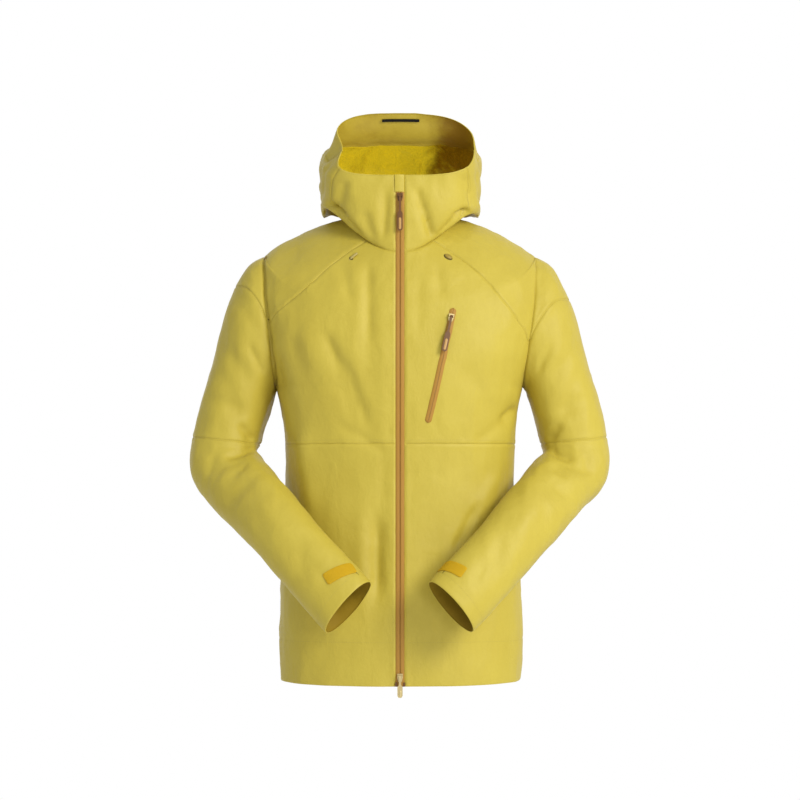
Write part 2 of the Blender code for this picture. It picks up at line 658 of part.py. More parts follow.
def wall(name, points, normals, faces, finish_name, thickness=WALL, lift=0.0):
    """A closed wall: an outer skin on the sheet's points, an inner skin and a rim round them."""
    points = drawn_in(points, normals, faces, SEAM_GAP / 2.0)
    outer = points + normals * lift
    inner = outer - normals * thickness
    count = len(points)
    solid = list(faces)
    solid += [(c + count, b + count, a + count) for a, b, c in faces]
    for start, end in sorted(border_edges(faces)):
        # both sides of a seam split the rim along the same diagonal
        if points[start] @ RIM_ORDER < points[end] @ RIM_ORDER:
            solid += [(end, start, end + count), (start, start + count, end + count)]
        else:
            solid += [(end, start, start + count), (end, start + count, end + count)]
    return mesh_object(name, np.concatenate([outer, inner]), solid, finish_name)


def piece(name, tube, columns, finish_name="shell cloth", closed=False):
    """A cut piece of a tube."""
    return wall(name, *sheet(tube, strips_of(columns, closed)), finish_name)


# ---- body pieces
TORSO_STATIONS = stations(TORSO["front"], COLUMNS, 0, NECK_ROW)
# the yoke seam runs down one column from the neck, then straight, as seen from the front, to the
# armhole; its corners are given as x and z
YOKE_COLUMN = 4
YOKE_CORNER = (0.1415, -0.1150)
YOKE_END = {1: (0.2160, -0.2060), -1: (0.2160, -0.1760)}


def yoke_rows(side):
    """The row at which each column from the corner to the armhole crosses the yoke seam. It meets
    the armhole where the sleeve's cap seam does."""
    end = YOKE_END[side]
    rise = (end[1] - YOKE_CORNER[1]) / (end[0] - YOKE_CORNER[0])
    rows = {}
    for column in range(YOKE_COLUMN, COLUMNS):
        low, high = float(ARMPIT_ROW), float(NECK_ROW)
        for _ in range(40):
            middle = (low + high) / 2.0
            x, _y, z = torso_base("front")(np.array(middle), np.array(float(column)))
            if z < YOKE_CORNER[1] + rise * (x - YOKE_CORNER[0]):
                low = middle
            else:
                high = middle
        rows[column] = round(middle, 3)
    rows[COLUMNS] = float(SHOULDER_ROW - CAP_SEAM_COLUMN[side])
    return rows


def zip_edge_column(tube_base, row):
    """The column at which a section lies half the zip's width from the middle."""
    target = ZIP_WIDTH / 2.0 + SEAM_GAP / 2.0
    low, high = 0.0, 2.0
    for _ in range(40):
        middle = (low + high) / 2.0
        if abs(float(tube_base(row, middle)[..., 0])) < target:
            low = middle
        else:
            high = middle
    return middle


def with_side(strips, side):
    """The same strips on the wearer's left (1) or right (-1)."""
    return [(left * side, left_rows, right * side, right_rows)
            for left, left_rows, right, right_rows in strips]


def zip_side(tube, base, strips, side):
    """A sheet whose first column follows the straight edge of the main zip."""
    points, normals, faces = sheet(tube, with_side(strips, side))
    rows = strips[0][1]
    row_numbers = np.array(rows)
    columns = side * np.array([zip_edge_column(base, row) for row in row_numbers])
    points[:len(rows)] = tube.surface(row_numbers, columns)
    points[:len(rows), 0] = side * (ZIP_WIDTH / 2.0 + SEAM_GAP / 2.0)
    normals[:len(rows)] = sheet_normals(tube, row_numbers, columns)
    return points, normals, faces


def build_body():
    """Fronts, yokes and back."""
    base = torso_base("front")
    rows = TORSO_STATIONS
    lower = strips_of([(column, between(rows, 0, SEAM_ROW)) for column in range(COLUMNS + 1)])
    for side, word in ((1, "left"), (-1, "right")):
        seam_rows = yoke_rows(side)
        corner = seam_rows[YOKE_COLUMN]
        inner = [(column, between(rows, SEAM_ROW, NECK_ROW)) for column in range(YOKE_COLUMN)]
        inner.append((YOKE_COLUMN, between(rows, SEAM_ROW, corner)
                      + between(rows, corner, NECK_ROW)[1:]))
        outer = [(column, between(rows, SEAM_ROW, row)) for column, row in seam_rows.items()]
        upper = strips_of(inner) + strips_of(outer)
        yoke = strips_of([(column, between(rows, row, NECK_ROW))
                          for column, row in seam_rows.items()])
        wall(f"front_lower_{word}", *zip_side(TORSO["front"], base, lower, side), "shell cloth")
        wall(f"front_upper_{word}", *zip_side(TORSO["front"], base, upper, side), "shell cloth")
        wall(f"yoke_{word}", *sheet(TORSO["front"], with_side(yoke, side)), "shell cloth")
    wrap = 4 * COLUMNS
    piece("back", TORSO["back"], [(column if column <= 2 * COLUMNS else column - wrap,
                                   between(rows, 0, NECK_ROW))
                                  for column in range(COLUMNS, wrap - COLUMNS + 1)])


# ---- sleeves
def cap_seam(side, column):
    """The row at which a column of the sleeve meets the slanted cap seam."""
    turn = 0.5 * math.pi * min(abs(column) / CAP_SEAM_COLUMN[side], 1.0)
    return CAP_SEAM_ROW[side] * math.cos(turn) ** 0.9


def build_sleeves():
    """Cap, upper sleeve and lower sleeve on each side."""
    half_way = SLEEVE_COLUMNS // 2
    for side, word in ((1, "left"), (-1, "right")):
        tube = SLEEVES[side]
        rows = stations(tube, 0, 0, CUFF_ROW)
        tip = CAP_SEAM_COLUMN[side]
        cap = [(column, between(rows, 0, cap_seam(side, column)))
               for column in range(-tip, tip + 1)]
        piece(f"sleeve_cap_{word}", tube, cap)
        upper = []
        lower = []
        for column in range(SLEEVE_COLUMNS):
            from_top = column if column <= half_way else SLEEVE_COLUMNS - column
            upper.append((column, between(rows, cap_seam(side, from_top), ELBOW_SEAM_ROW)))
            lower.append((column, between(rows, ELBOW_SEAM_ROW, CUFF_ROW)))
        piece(f"upper_sleeve_{word}", tube, upper, closed=True)
        piece(f"lower_sleeve_{word}", tube, lower, closed=True)


# ---- hood
def build_hood():
    """Collar fronts, hood sides, centre strip and brim band."""
    rows = sorted(set(stations(HOOD_TUBE, 2 * COLUMNS, 0, OPENING_ROW)) | set(OVERHANG_ROWS))
    for side, word in ((1, "left"), (-1, "right")):
        collar = strips_of([(column, between(rows, 0, OPENING_ROW))
                            for column in range(COLLAR_COLUMN + 1)])
        wall(f"collar_{word}", *zip_side(HOOD_TUBE, hood_base, collar, side), "shell cloth")
        flank = []
        for column in range(COLLAR_COLUMN, CENTRE_COLUMN + 1):
            top = BRIM_SEAM_ROW if column > BRIM_COLUMN else OPENING_ROW
            flank.append((column, between(rows, 0, top)))
        wall(f"hood_side_{word}", *sheet(HOOD_TUBE, with_side(strips_of(flank), side)),
             "shell cloth")
    wrap = 4 * COLUMNS
    centre = [(column if column <= 2 * COLUMNS else column - wrap, between(rows, 0, BRIM_SEAM_ROW))
              for column in range(CENTRE_COLUMN, wrap - CENTRE_COLUMN + 1)]
    piece("hood_centre", HOOD_TUBE, centre)
    brim = []
    for column in range(BRIM_COLUMN, wrap - BRIM_COLUMN + 1):
        at_end = column in (BRIM_COLUMN, wrap - BRIM_COLUMN)
        low = OPENING_ROW if at_end else BRIM_SEAM_ROW
        brim.append((column if column <= 2 * COLUMNS else column - wrap,
                     between(rows, low, OPENING_ROW)))
    piece("hood_brim", HOOD_TUBE, brim)


# ---- main zip
def centre_front(low_z, high_z):
    """Points and outward normals up the middle of the front between two heights."""
    torso = torso_base("front")(np.array(TORSO_STATIONS), np.zeros(len(TORSO_STATIONS)))
    hood_stations = np.arange(0.0, OPENING_ROW + 0.01, 0.5)
    hood = hood_base(hood_stations, np.zeros(len(hood_stations)))
    path = np.concatenate([torso, hood[1:]])[:, 1:]
    heights = path[:, 1]
    inner = heights[(heights > low_z + 0.002) & (heights < high_z - 0.002)]
    z = np.concatenate([[low_z], inner, [high_z]])
    y = np.interp(z, heights, path[:, 0])
    slope = np.gradient(y, z)
    normals = np.stack([np.zeros_like(z), -np.ones_like(z), slope], axis=-1)
    normals /= np.linalg.norm(normals, axis=-1, keepdims=True)
    return y, z, normals


def straight_wall(name, low_x, high_x, low_z, high_z, finish_name, thickness, lift):
    """A wall over the middle of the front between two widths and two heights."""
    y, z, normals = centre_front(low_z, high_z)
    count = len(z)
    points = np.concatenate([np.stack([np.full(count, x), y, z], axis=-1)
                             for x in (low_x, high_x)])
    faces = []
    for row in range(count - 1):
        faces += [(row, row + count, row + count + 1), (row, row + count + 1, row + 1)]
    return wall(name, points, np.concatenate([normals, normals]), faces, finish_name,
                thickness, lift)


HEM_Z = LOWER_TORSO[0].front_z
COLLAR_TOP = HOOD[-1].front_z
TAPE_SET_BACK = -0.0003     # the tapes lie this far inside the fronts' outer face


def build_main_zip():
    """Both tapes and the garage that covers the zip's top end."""
    half = ZIP_WIDTH / 2.0
    straight_wall("zip_tape_left", 0.0, half, HEM_Z, ZIP_TOP, "zip tape", TAPE_WALL, TAPE_SET_BACK)
    straight_wall("zip_tape_right", -half, 0.0, HEM_Z, ZIP_TOP, "zip tape", TAPE_WALL,
                  TAPE_SET_BACK)
    straight_wall("zip_garage", -half, half, ZIP_TOP, COLLAR_TOP, "shell cloth", WALL, 0.0)


# ---- sliders and pull tabs, in a frame of their own: x across the zip, -y out of it, z up along it
def shape_object(name, outline, depth_axis, low, high, finish_name, bevel=0.0):
    """A flat outline drawn in the two other axes and extruded along depth_axis."""
    shape = bmesh.new()
    corners = []
    for first, second in outline:
        place = [first, second]
        place.insert(depth_axis, low)
        corners.append(shape.verts.new(place))
    face = shape.faces.new(corners)
    grown = bmesh.ops.extrude_face_region(shape, geom=[face])
    shift = Vector((0.0, 0.0, 0.0))
    shift[depth_axis] = high - low
    new_verts = [item for item in grown["geom"] if isinstance(item, bmesh.types.BMVert)]
    bmesh.ops.translate(shape, verts=new_verts, vec=shift)
    bmesh.ops.recalc_face_normals(shape, faces=shape.faces)
    mesh = bpy.data.meshes.new(name)
    shape.to_mesh(mesh)
    shape.free()
    mesh.materials.append(material(finish_name))
    made = bpy.data.objects.new(name, mesh)
    bpy.context.scene.collection.objects.link(made)
    if bevel:
        rounding = made.modifiers.new("rounded edges", "BEVEL")
        rounding.width = bevel
        rounding.segments = 1
        rounding.limit_method = "ANGLE"
    return made


def boolean(target, tool, operation):
    """Joins a tool shape to a target, or cuts it out, and hides the tool."""
    change = target.modifiers.new(tool.name, "BOOLEAN")
    change.object = tool
    change.operation = operation
    tool.hide_render = True
    tool.display_type = "WIRE"


def circle(radius, steps, turn=0.0):
    """Points round a circle."""
    return [(radius * math.cos(turn + 2.0 * math.pi * step / steps),
             radius * math.sin(turn + 2.0 * math.pi * step / steps)) for step in range(steps)]


PULL_AXIS_OUT = SLIDER_DEPTH + BARREL_RADIUS + 0.0004   # hinge axis in front of the slider's back
PULL_AXIS_DOWN = 0.0045                                 # hinge axis below the slider's top


def build_slider(name, frame, finish_name):
    """A shield-shaped slider body with two lugs and the pin that holds the pull tab."""
    half = SLIDER_WIDTH / 2.0
    tail = half * 0.65
    shield = [(-half, 0.0), (half, 0.0), (half, -0.5 * SLIDER_LENGTH), (tail, -SLIDER_LENGTH),
              (-tail, -SLIDER_LENGTH), (-half, -0.5 * SLIDER_LENGTH)]
    body = shape_object(name, shield, 1, -SLIDER_DEPTH, 0.0, finish_name, 0.0004)
    lug_in = PULL_WIDTH / 2.0 + PIN_CLEARANCE
    lug_out = lug_in + LUG_WIDTH
    top = -SLIDER_DEPTH - LUG_HEIGHT
    sunk = -SLIDER_DEPTH / 2.0
    outline = [(sunk, -PULL_AXIS_DOWN + 0.0026), (top, -PULL_AXIS_DOWN + 0.0014),
               (top, -PULL_AXIS_DOWN - 0.0014), (sunk, -PULL_AXIS_DOWN - 0.0026)]
    for side, word in ((1, "left"), (-1, "right")):
        ends = sorted((side * lug_in, side * lug_out))
        lug = shape_object(f"{name}_lug_{word}", outline, 0, *ends, finish_name)
        boolean(body, lug, "UNION")
        lug.parent = body
    pin_outline = [(-PULL_AXIS_OUT + y, -PULL_AXIS_DOWN + z)
                   for y, z in circle(PIN_RADIUS, ROUND_STEPS)]
    reach = lug_in + LUG_WIDTH / 2.0
    pin = shape_object(f"{name}_pin", pin_outline, 0, -reach, reach, finish_name)
    boolean(body, pin, "UNION")
    pin.parent = body
    body.matrix_world = frame
    return body


def build_pull(name, frame, length, finish_name):
    """A pull tab: a barrel round the slider's pin, and a plate that widens to a rounded grip."""
    plate = PULL_DEPTH / 2.0
    barrel = shape_object(name, circle(BARREL_RADIUS, ROUND_STEPS), 0,
                          -PULL_WIDTH / 2.0, PULL_WIDTH / 2.0, finish_name)
    neck = PULL_NECK / 2.0
    grip = PULL_GRIP / 2.0
    grip_start = -0.50 * length
    end = -length + grip
    outline = [(neck, -0.5 * BARREL_RADIUS), (neck, grip_start + 0.004), (grip, grip_start)]
    outline += [(grip * math.cos(turn), end - grip * math.sin(turn))
                for turn in (0.0, 0.4, 0.8, 1.2, math.pi - 1.2, math.pi - 0.8, math.pi - 0.4,
                             math.pi)]
    outline += [(-grip, grip_start), (-neck, grip_start + 0.004), (-neck, -0.5 * BARREL_RADIUS)]
    tab = shape_object(f"{name}_plate", outline, 1, -plate, plate, finish_name)
    boolean(barrel, tab, "UNION")
    tab.parent = barrel
    bore = shape_object(f"{name}_bore", circle(PIN_RADIUS + PIN_CLEARANCE, ROUND_STEPS), 0,
                        -PULL_WIDTH, PULL_WIDTH, finish_name)
    boolean(barrel, bore, "DIFFERENCE")
    bore.parent = barrel
    barrel.matrix_world = frame
    return barrel


def zip_frame(across, outward, up, place):
    """A matrix with x across the zip, -y out of it and z up along it."""
    frame = Matrix.Identity(4)
    for index, axis in enumerate((across, -outward, up)):
        for row in range(3):
            frame[row][index] = axis[row]
    for row in range(3):
        frame[row][3] = place[row]
    return frame


def build_zip_hardware(word, frame, pull_length, slider_finish, pull_finish):
    """A slider and its pull tab; the tab's origin is on its hinge axis."""
    build_slider(f"{word}_slider", frame, slider_finish)
    hinge = frame @ Matrix.Translation((0.0, -PULL_AXIS_OUT, -PULL_AXIS_DOWN))
    build_pull(f"{word}_pull", hinge, pull_length, pull_finish)


SLIDER_STAND_OFF = 0.0004
TOP_SLIDER_Z = 0.0290
HEM_SLIDER_Z = -0.7440


def build_main_sliders():
    """The slider at the top of the main zip and the one that opens it from the hem."""
    across = Vector((1.0, 0.0, 0.0))
    outward = Vector((0.0, -1.0, 0.0))
    up = Vector((0.0, 0.0, 1.0))
    for word, top, length, slider_finish, pull_finish in (
            ("top", TOP_SLIDER_Z, TOP_PULL_LENGTH, "dark pull", "dark pull"),
            ("hem", HEM_SLIDER_Z, HEM_PULL_LENGTH, "bronze metal", "bronze metal")):
        front = centre_front(top - SLIDER_LENGTH, top)[0]
        place = (0.0, float(np.min(front)) - SLIDER_STAND_OFF, top)
        build_zip_hardware(word, zip_frame(across, outward, up, place), length, slider_finish,
                           pull_finish)


# ---- chest pocket zip on the wearer's left
def front_at(x, z):
    """The front's row and column at a point given as x and z, by halving steps."""
    row, column = float(ARMPIT_ROW), COLUMNS / 2.0
    step = 4.0
    while step > 1e-5:
        tries = [(row + step * i, column + 0.5 * step * j) for i in (-1, 0, 1) for j in (-1, 0, 1)]
        tries = [(min(max(r, 0.0), NECK_ROW), min(max(c, 0.0), COLUMNS)) for r, c in tries]
        points = TORSO["front"].surface(np.array([r for r, c in tries]),
                                        np.array([c for r, c in tries]))
        best = int(np.argmin(np.hypot(points[:, 0] - x, points[:, 2] - z)))
        if tries[best] == (row, column):
            step /= 2.0
        row, column = tries[best]
    return row, column


def front_points(xs, zs):
    """Surface points and normals of the front at places given as x and z."""
    places = np.array([front_at(x, z) for x, z in zip(xs, zs)])
    surface = TORSO["front"].surface
    return (surface(places[:, 0], places[:, 1]),
            surface_normals(surface, places[:, 0], places[:, 1], 1.0))


POCKET_SLIDER_DOWN = 0.0077 # from the zip's top end to the slider's top
POCKET_STEPS = 8


def build_pocket_zip():
    """The pocket zip's tape, from the panel's points moved out, with its slider and pull tab."""
    top = np.array(POCKET_TOP)
    bottom = np.array(POCKET_BOTTOM)
    up = (top - bottom) / np.linalg.norm(top - bottom)
    beside = np.array([up[1], -up[0]])
    along = np.linspace(0.0, 1.0, POCKET_STEPS + 1)[:, None] * (top - bottom) + bottom
    sides = [along + beside * offset for offset in
             (-POCKET_ZIP_WIDTH / 2.0, 0.0, POCKET_ZIP_WIDTH / 2.0)]
    flat = np.concatenate(sides)
    points, normals = front_points(flat[:, 0], flat[:, 1])
    count = POCKET_STEPS + 1
    faces = []
    for column in range(2):
        for row in range(POCKET_STEPS):
            a = column * count + row
            faces += [(a, a + count, a + count + 1), (a, a + count + 1, a + 1)]
    wall("pocket_zip", points, normals, faces, "zip tape", TAPE_WALL, LAID_ON + TAPE_WALL)
    seat = top - up * POCKET_SLIDER_DOWN
    ends = np.array([seat, seat - up * SLIDER_LENGTH, seat - up * (SLIDER_LENGTH / 2.0)])
    points, normals = front_points(ends[:, 0], ends[:, 1])
    run = Vector(points[0] - points[1]).normalized()
    outward = Vector(normals[2])
    outward = (outward - run * outward.dot(run)).normalized()
    across = run.cross(outward)
    stand_off = LAID_ON + TAPE_WALL + 2.0 * SLIDER_STAND_OFF
    place = Vector(points[0]) + outward * stand_off
    build_zip_hardware("pocket", zip_frame(across, outward, run, place), POCKET_PULL_LENGTH,
                       "dark pull", "dark pull")


# ---- small pieces that lie on the cloth
STRAP_START = 4.9           # sleeve columns between which the cuff strap runs
STRAP_END = 11.4
STRAP_STEPS = 9
STRAP_ROW = 10.95           # its middle's row at its start, and how far it slants
STRAP_SLANT = 0.11
STRAP_LAST_ROW = 11.35


def build_cuff_straps():
    """A gold strap round the front and inner side of each cuff."""
    for side, word in ((1, "left"), (-1, "right")):
        tube = SLEEVES[side]
        rows = np.array([STRAP_LAST_ROW - 0.5, STRAP_LAST_ROW + 0.5])
        ends = tube.surface(rows, np.full(2, 5.0))
        half = STRAP_WIDTH / 2.0 / np.linalg.norm(ends[1] - ends[0])
        columns = []
        for column in np.linspace(STRAP_START, STRAP_END, STRAP_STEPS + 1):
            middle = min(STRAP_ROW + STRAP_SLANT * (column - STRAP_START), STRAP_LAST_ROW)
            columns.append((float(column), [middle - half, middle, middle + half]))
        wall(f"cuff_strap_{word}", *sheet(tube, strips_of(columns)), "gold strap", STRAP_WALL,
             LAID_ON + STRAP_WALL)


BRIM_STRIP_ROWS = (8.70, 8.74, 8.78)
BRIM_STRIP_REACH = 1.45     # columns either side of the middle
BRIM_STRIP_WALL = 0.0012


def build_brim_strip():
    """The short black strip on the inner face of the brim."""
    middle = 2.0 * COLUMNS
    columns = [(middle + offset if offset <= 0 else offset - middle, list(BRIM_STRIP_ROWS))
               for offset in np.linspace(-BRIM_STRIP_REACH, BRIM_STRIP_REACH, 9)]
    wall("brim_strip", *sheet(HOOD_TUBE, strips_of(columns)), "black tape", BRIM_STRIP_WALL,
         -WALL - LAID_ON)


EYELET_AT = (0.0810, -0.0680)   # x and z of the hood cord's eyelets
EYELET_SIZE = (0.0042, 0.0036)  # half length and half height
EYELET_ROD = 0.0019             # half thickness of its rim
EYELET_STEPS = (14, 6)


def build_eyelets():
    """Small oval rings where the hood cord leaves the neck seam."""
    around, about = EYELET_STEPS
    points, normals = front_points([EYELET_AT[0]], [EYELET_AT[1]])
    for side, word in ((1, "left"), (-1, "right")):
        outward = Vector(normals[0])
        across = outward.cross(Vector((0.0, 0.0, 1.0))).normalized() * -1.0
        up = across.cross(outward).normalized()
        centre = Vector(points[0]) + outward * (EYELET_ROD + LAID_ON)
        ring = []
        for step in range(around):
            turn = 2.0 * math.pi * step / around
            direction = across * math.cos(turn) + up * math.sin(turn)
            spine = (centre + across * (EYELET_SIZE[0] * math.cos(turn))
                     + up * (EYELET_SIZE[1] * math.sin(turn)))
            for tick in range(about):
                swing = 2.0 * math.pi * tick / about
                point = (spine + direction * (EYELET_ROD * math.cos(swing))
                         + outward * (EYELET_ROD * math.sin(swing)))
                ring.append((point[0] * side, point[1], point[2]))
        faces = []
        for step in range(around):
            for tick in range(about):
                a = step * about + tick
                b = (step + 1) % around * about + tick
                c = (step + 1) % around * about + (tick + 1) % about
                d = step * about + (tick + 1) % about
                faces.append((a, b, c, d))
        made = mesh_object(f"cord_eyelet_{word}", ring, faces, "dark pull")
        shape = bmesh.new()
        shape.from_mesh(made.data)
        bmesh.ops.recalc_face_normals(shape, faces=shape.faces)
        shape.to_mesh(made.data)
        shape.free()


def clear_scene():
    """Removes the objects that a new Blender file starts with."""
    for old in list(bpy.data.objects):
        bpy.data.objects.remove(old, do_unlink=True)


def main():
    clear_scene()
    build_body()
    build_sleeves()
    build_hood()
    build_main_zip()
    build_main_sliders()
    build_pocket_zip()
    build_cuff_straps()
    build_brim_strip()
    build_eyelets()


if __name__ == "__main__":
    main()
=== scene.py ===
# %% [markdown]
# # A hooded shell jacket, dressed round its fixed frame
# The jacket is a thin waterproof shell, worn by nobody: it keeps the shape of a wearer, with the
# hood up and the forearms bent across the front. The packed model gives stiff plain walls. This
# lesson makes each cut piece again as a fine sheet of cloth in the same place, then adds the parts
# that are too small for the frame: folds, seams, stitches, zip teeth and cord.
# The front faces -Y, the wearer's left is +X, and everything is in metres.

# %% Load the frame
import math
from collections import namedtuple

import bpy
import numpy as np
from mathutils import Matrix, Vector
from mathutils.bvhtree import BVHTree


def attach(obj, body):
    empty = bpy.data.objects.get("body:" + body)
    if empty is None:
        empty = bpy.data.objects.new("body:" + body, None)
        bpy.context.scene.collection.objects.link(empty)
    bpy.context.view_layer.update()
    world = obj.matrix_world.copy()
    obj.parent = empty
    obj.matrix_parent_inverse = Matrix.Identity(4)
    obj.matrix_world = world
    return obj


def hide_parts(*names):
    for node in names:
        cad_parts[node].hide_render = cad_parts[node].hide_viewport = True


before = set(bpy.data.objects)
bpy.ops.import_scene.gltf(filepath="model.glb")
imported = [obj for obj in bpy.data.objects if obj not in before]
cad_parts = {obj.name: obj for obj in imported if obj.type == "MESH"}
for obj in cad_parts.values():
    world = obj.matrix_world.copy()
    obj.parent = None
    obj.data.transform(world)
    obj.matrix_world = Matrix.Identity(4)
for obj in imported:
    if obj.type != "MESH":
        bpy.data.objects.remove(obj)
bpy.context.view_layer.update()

GARMENT = "garment"

# %% [markdown]
# ## Camera, light and floor
# A long lens from 4.5 m away looks level at the chest, as in a catalogue picture. The room is white
# behind the jacket and dimmer round it, most of all at the wearer's right. A large lamp at the
# front left of the wearer gives the folds their bright side, and a weak low one shines up into the
# hood. The floor is far below, because a worn jacket hangs well above the ground.

# %% Camera, lights and room
VIEW_WIDTH = 1.32           # metres across the picture at the jacket
CAMERA_AWAY = 4.5
CAMERA_Z = -0.40
TARGET_Z = -0.3036
SENSOR = 36.0


def aimed(data, name, place, target):
    """Adds a camera or lamp at a place and turns it to a target."""
    made = bpy.data.objects.new(name, data)
    bpy.context.scene.collection.objects.link(made)
    made.location = place
    made.rotation_euler = (Vector(target) - Vector(place)).to_track_quat("-Z", "Y").to_euler()
    return made


def soft_lamp(name, place, target, size, watts, colour):
    """A large square area lamp."""
    lamp = bpy.data.lights.new(name, "AREA")
    lamp.size = size
    lamp.energy = watts
    lamp.color = colour
    return aimed(lamp, name, place, target)


camera_data = bpy.data.cameras.new("camera")
camera_data.sensor_width = SENSOR
camera_data.lens = SENSOR * CAMERA_AWAY / VIEW_WIDTH
camera = aimed(camera_data, "camera", (0.0, -CAMERA_AWAY, CAMERA_Z), (0.0, 0.0, TARGET_Z))
bpy.context.scene.camera = camera

soft_lamp("key lamp", (2.2, -2.7, 1.2), (0.0, 0.0, -0.30), 1.3, 92.0, (1.0, 0.985, 0.94))
soft_lamp("hood lamp", (0.9, -2.5, -0.5), (-0.02, 0.0, 0.10), 0.5, 6.0, (1.0, 1.0, 1.0))


def studio_walls(left, right, behind):
    """A world that is white straight behind the jacket, and dimmer and uneven elsewhere: the
    wearer's right side faces the darker wall. It turns from one to the other with the direction."""
    world = bpy.data.worlds.new("studio")
    bpy.context.scene.world = world
    world.use_nodes = True
    tree = world.node_tree
    direction = tree.nodes.new("ShaderNodeTexCoord").outputs["Generated"]
    split = tree.nodes.new("ShaderNodeSeparateXYZ")
    tree.links.new(direction, split.inputs[0])
    strength = None
    for axis, low, high, start, end in (("X", -0.8, 0.8, right, left),
                                        ("Y", 0.5, 0.9, None, behind)):
        turn = tree.nodes.new("ShaderNodeMapRange")
        turn.interpolation_type = "SMOOTHSTEP"
        for socket, value in (("From Min", low), ("From Max", high), ("To Min", start),
                              ("To Max", end)):
            if value is None:
                tree.links.new(strength, turn.inputs[socket])
            else:
                turn.inputs[socket].default_value = value
        tree.links.new(split.outputs[axis], turn.inputs["Value"])
        strength = turn.outputs["Result"]
    tree.links.new(strength, tree.nodes["Background"].inputs["Strength"])
    tree.nodes["Background"].inputs["Color"].default_value = (1.0, 1.0, 1.0, 1.0)


studio_walls(0.68, 0.58, 1.0)
bpy.context.scene.view_settings.view_transform = "Standard"
print("lens:", round(camera_data.lens, 1), "mm")

# %% [markdown]
# ## Shader maths in plain expressions
# A procedural finish is a formula. Nodes wired by hand hide it, so a small class wraps a socket and
# gives it the usual operators: mask * 0.5 + 1 adds its Math nodes by itself. Every other node comes
# from one method that takes the node's type, its settings and its inputs.

# %% A small shader language
class Value:
    """A socket or number that adds a Math node for each operation done on it."""

    def __init__(self, finish, socket):
        self.finish = finish
        self.socket = socket

    def math(self, operation, other):
        """A Math node that takes this value first."""
        return self.finish.node("ShaderNodeMath", {"operation": operation}, {0: self, 1: other})

    def __add__(self, other):
        return self.math("ADD", other)

    def __sub__(self, other):
        return self.math("SUBTRACT", other)

    def __mul__(self, other):
        return self.math("MULTIPLY", other)


class Finish:
    """A material under construction, with its Principled shader."""

    def __init__(self, name, roughness=0.5, metallic=0.0, **fixed):
        self.material = bpy.data.materials.new(name)
        self.material.use_nodes = True
        self.tree = self.material.node_tree
        self.shader = self.tree.nodes["Principled BSDF"]
        self.shader.inputs["Roughness"].default_value = roughness
        self.shader.inputs["Metallic"].default_value = metallic
        for socket, value in fixed.items():
            self.shader.inputs[socket.replace("_", " ")].default_value = value

    def node(self, kind, settings=None, sockets=None, output=0):
        """Any node: its type, its settings, then the values or links of its sockets."""
        made = self.tree.nodes.new(kind)
        for setting, value in (settings or {}).items():
            setattr(made, setting, value)
        for socket, value in (sockets or {}).items():
            if isinstance(value, Value):
                value = value.socket
            if isinstance(value, bpy.types.NodeSocket):
                self.tree.links.new(value, made.inputs[socket])
            else:
                made.inputs[socket].default_value = value
        return Value(self, made.outputs[output])

    def feed(self, socket, value):
        """Links a value to the Principled shader."""
        self.tree.links.new(value.socket, self.shader.inputs[socket])

    def place(self, stretch=(1.0, 1.0, 1.0), source="Object"):
        """Coordinates in metres, stretched: the object's, or its own UV map's."""
        coordinates = self.node("ShaderNodeTexCoord", output=source)
        return self.node("ShaderNodeMapping", {}, {"Vector": coordinates, "Scale": stretch})

    def noise(self, where, scale, detail=2.0, roughness=0.5, distortion=0.0):
        """Soft random values from 0 to 1."""
        return self.node("ShaderNodeTexNoise", {}, {
            "Vector": where, "Scale": scale, "Detail": detail, "Roughness": roughness,
            "Distortion": distortion})

    def wave(self, where, scale, direction):
        """Even bands across a direction."""
        return self.node("ShaderNodeTexWave", {"bands_direction": direction,
                                               "wave_profile": "SIN"},
                         {"Vector": where, "Scale": scale}, output="Fac")

    def blend(self, factor, first, second):
        """A colour between two colours."""
        return self.node("ShaderNodeMix", {"data_type": "RGBA"},
                         {0: factor, 6: first, 7: second}, output=2)

    def bump(self, height, distance, strength=1.0):
        """Small relief."""
        self.feed("Normal", self.node("ShaderNodeBump", {}, {
            "Height": height, "Distance": distance, "Strength": strength}))


def colour(red, green, blue):
    """A colour with full alpha."""
    return (red, green, blue, 1.0)


print("operators:", [name for name in ("__add__", "__sub__", "__mul__") if name in vars(Value)])

# %% [markdown]
# ## The floor
# A plain pale sheet of paper, which ends before the camera can see it. It is part of the studio
# and not of the jacket, so it is marked as stage.

# %% Floor
FLOOR_Z = -1.55
FLOOR_REACH = 4.5

paper = Finish("studio paper", roughness=0.9)
grain = paper.noise(paper.place(), 3.0)
paper.feed("Base Color", paper.blend(grain, colour(0.90, 0.90, 0.90), colour(0.93, 0.93, 0.93)))
floor_mesh = bpy.data.meshes.new("floor")
floor_mesh.from_pydata([(x * FLOOR_REACH, y * FLOOR_REACH, FLOOR_Z)
                        for x, y in ((-1, -1), (1, -1), (1, 1), (-1, 1))], [], [(0, 1, 2, 3)])
floor_mesh.materials.append(paper.material)
floor = bpy.data.objects.new("floor", floor_mesh)
bpy.context.scene.collection.objects.link(floor)
print("floor:", FLOOR_Z, "m")

# %% [markdown]
# ## Finishes
# The shell is a tight plain weave with a film behind it. From far it is smooth with a soft sheen.
# Close up it has crossing threads and faint crumpling. Its inner face is the film: smoother, a
# little shinier and more olive. The other finishes are woven tape, coated zip tape, moulded
# plastic, lacquered metal and thread.

# %% Cloth finishes
THREAD = 0.0011             # metres from one pair of threads to the next


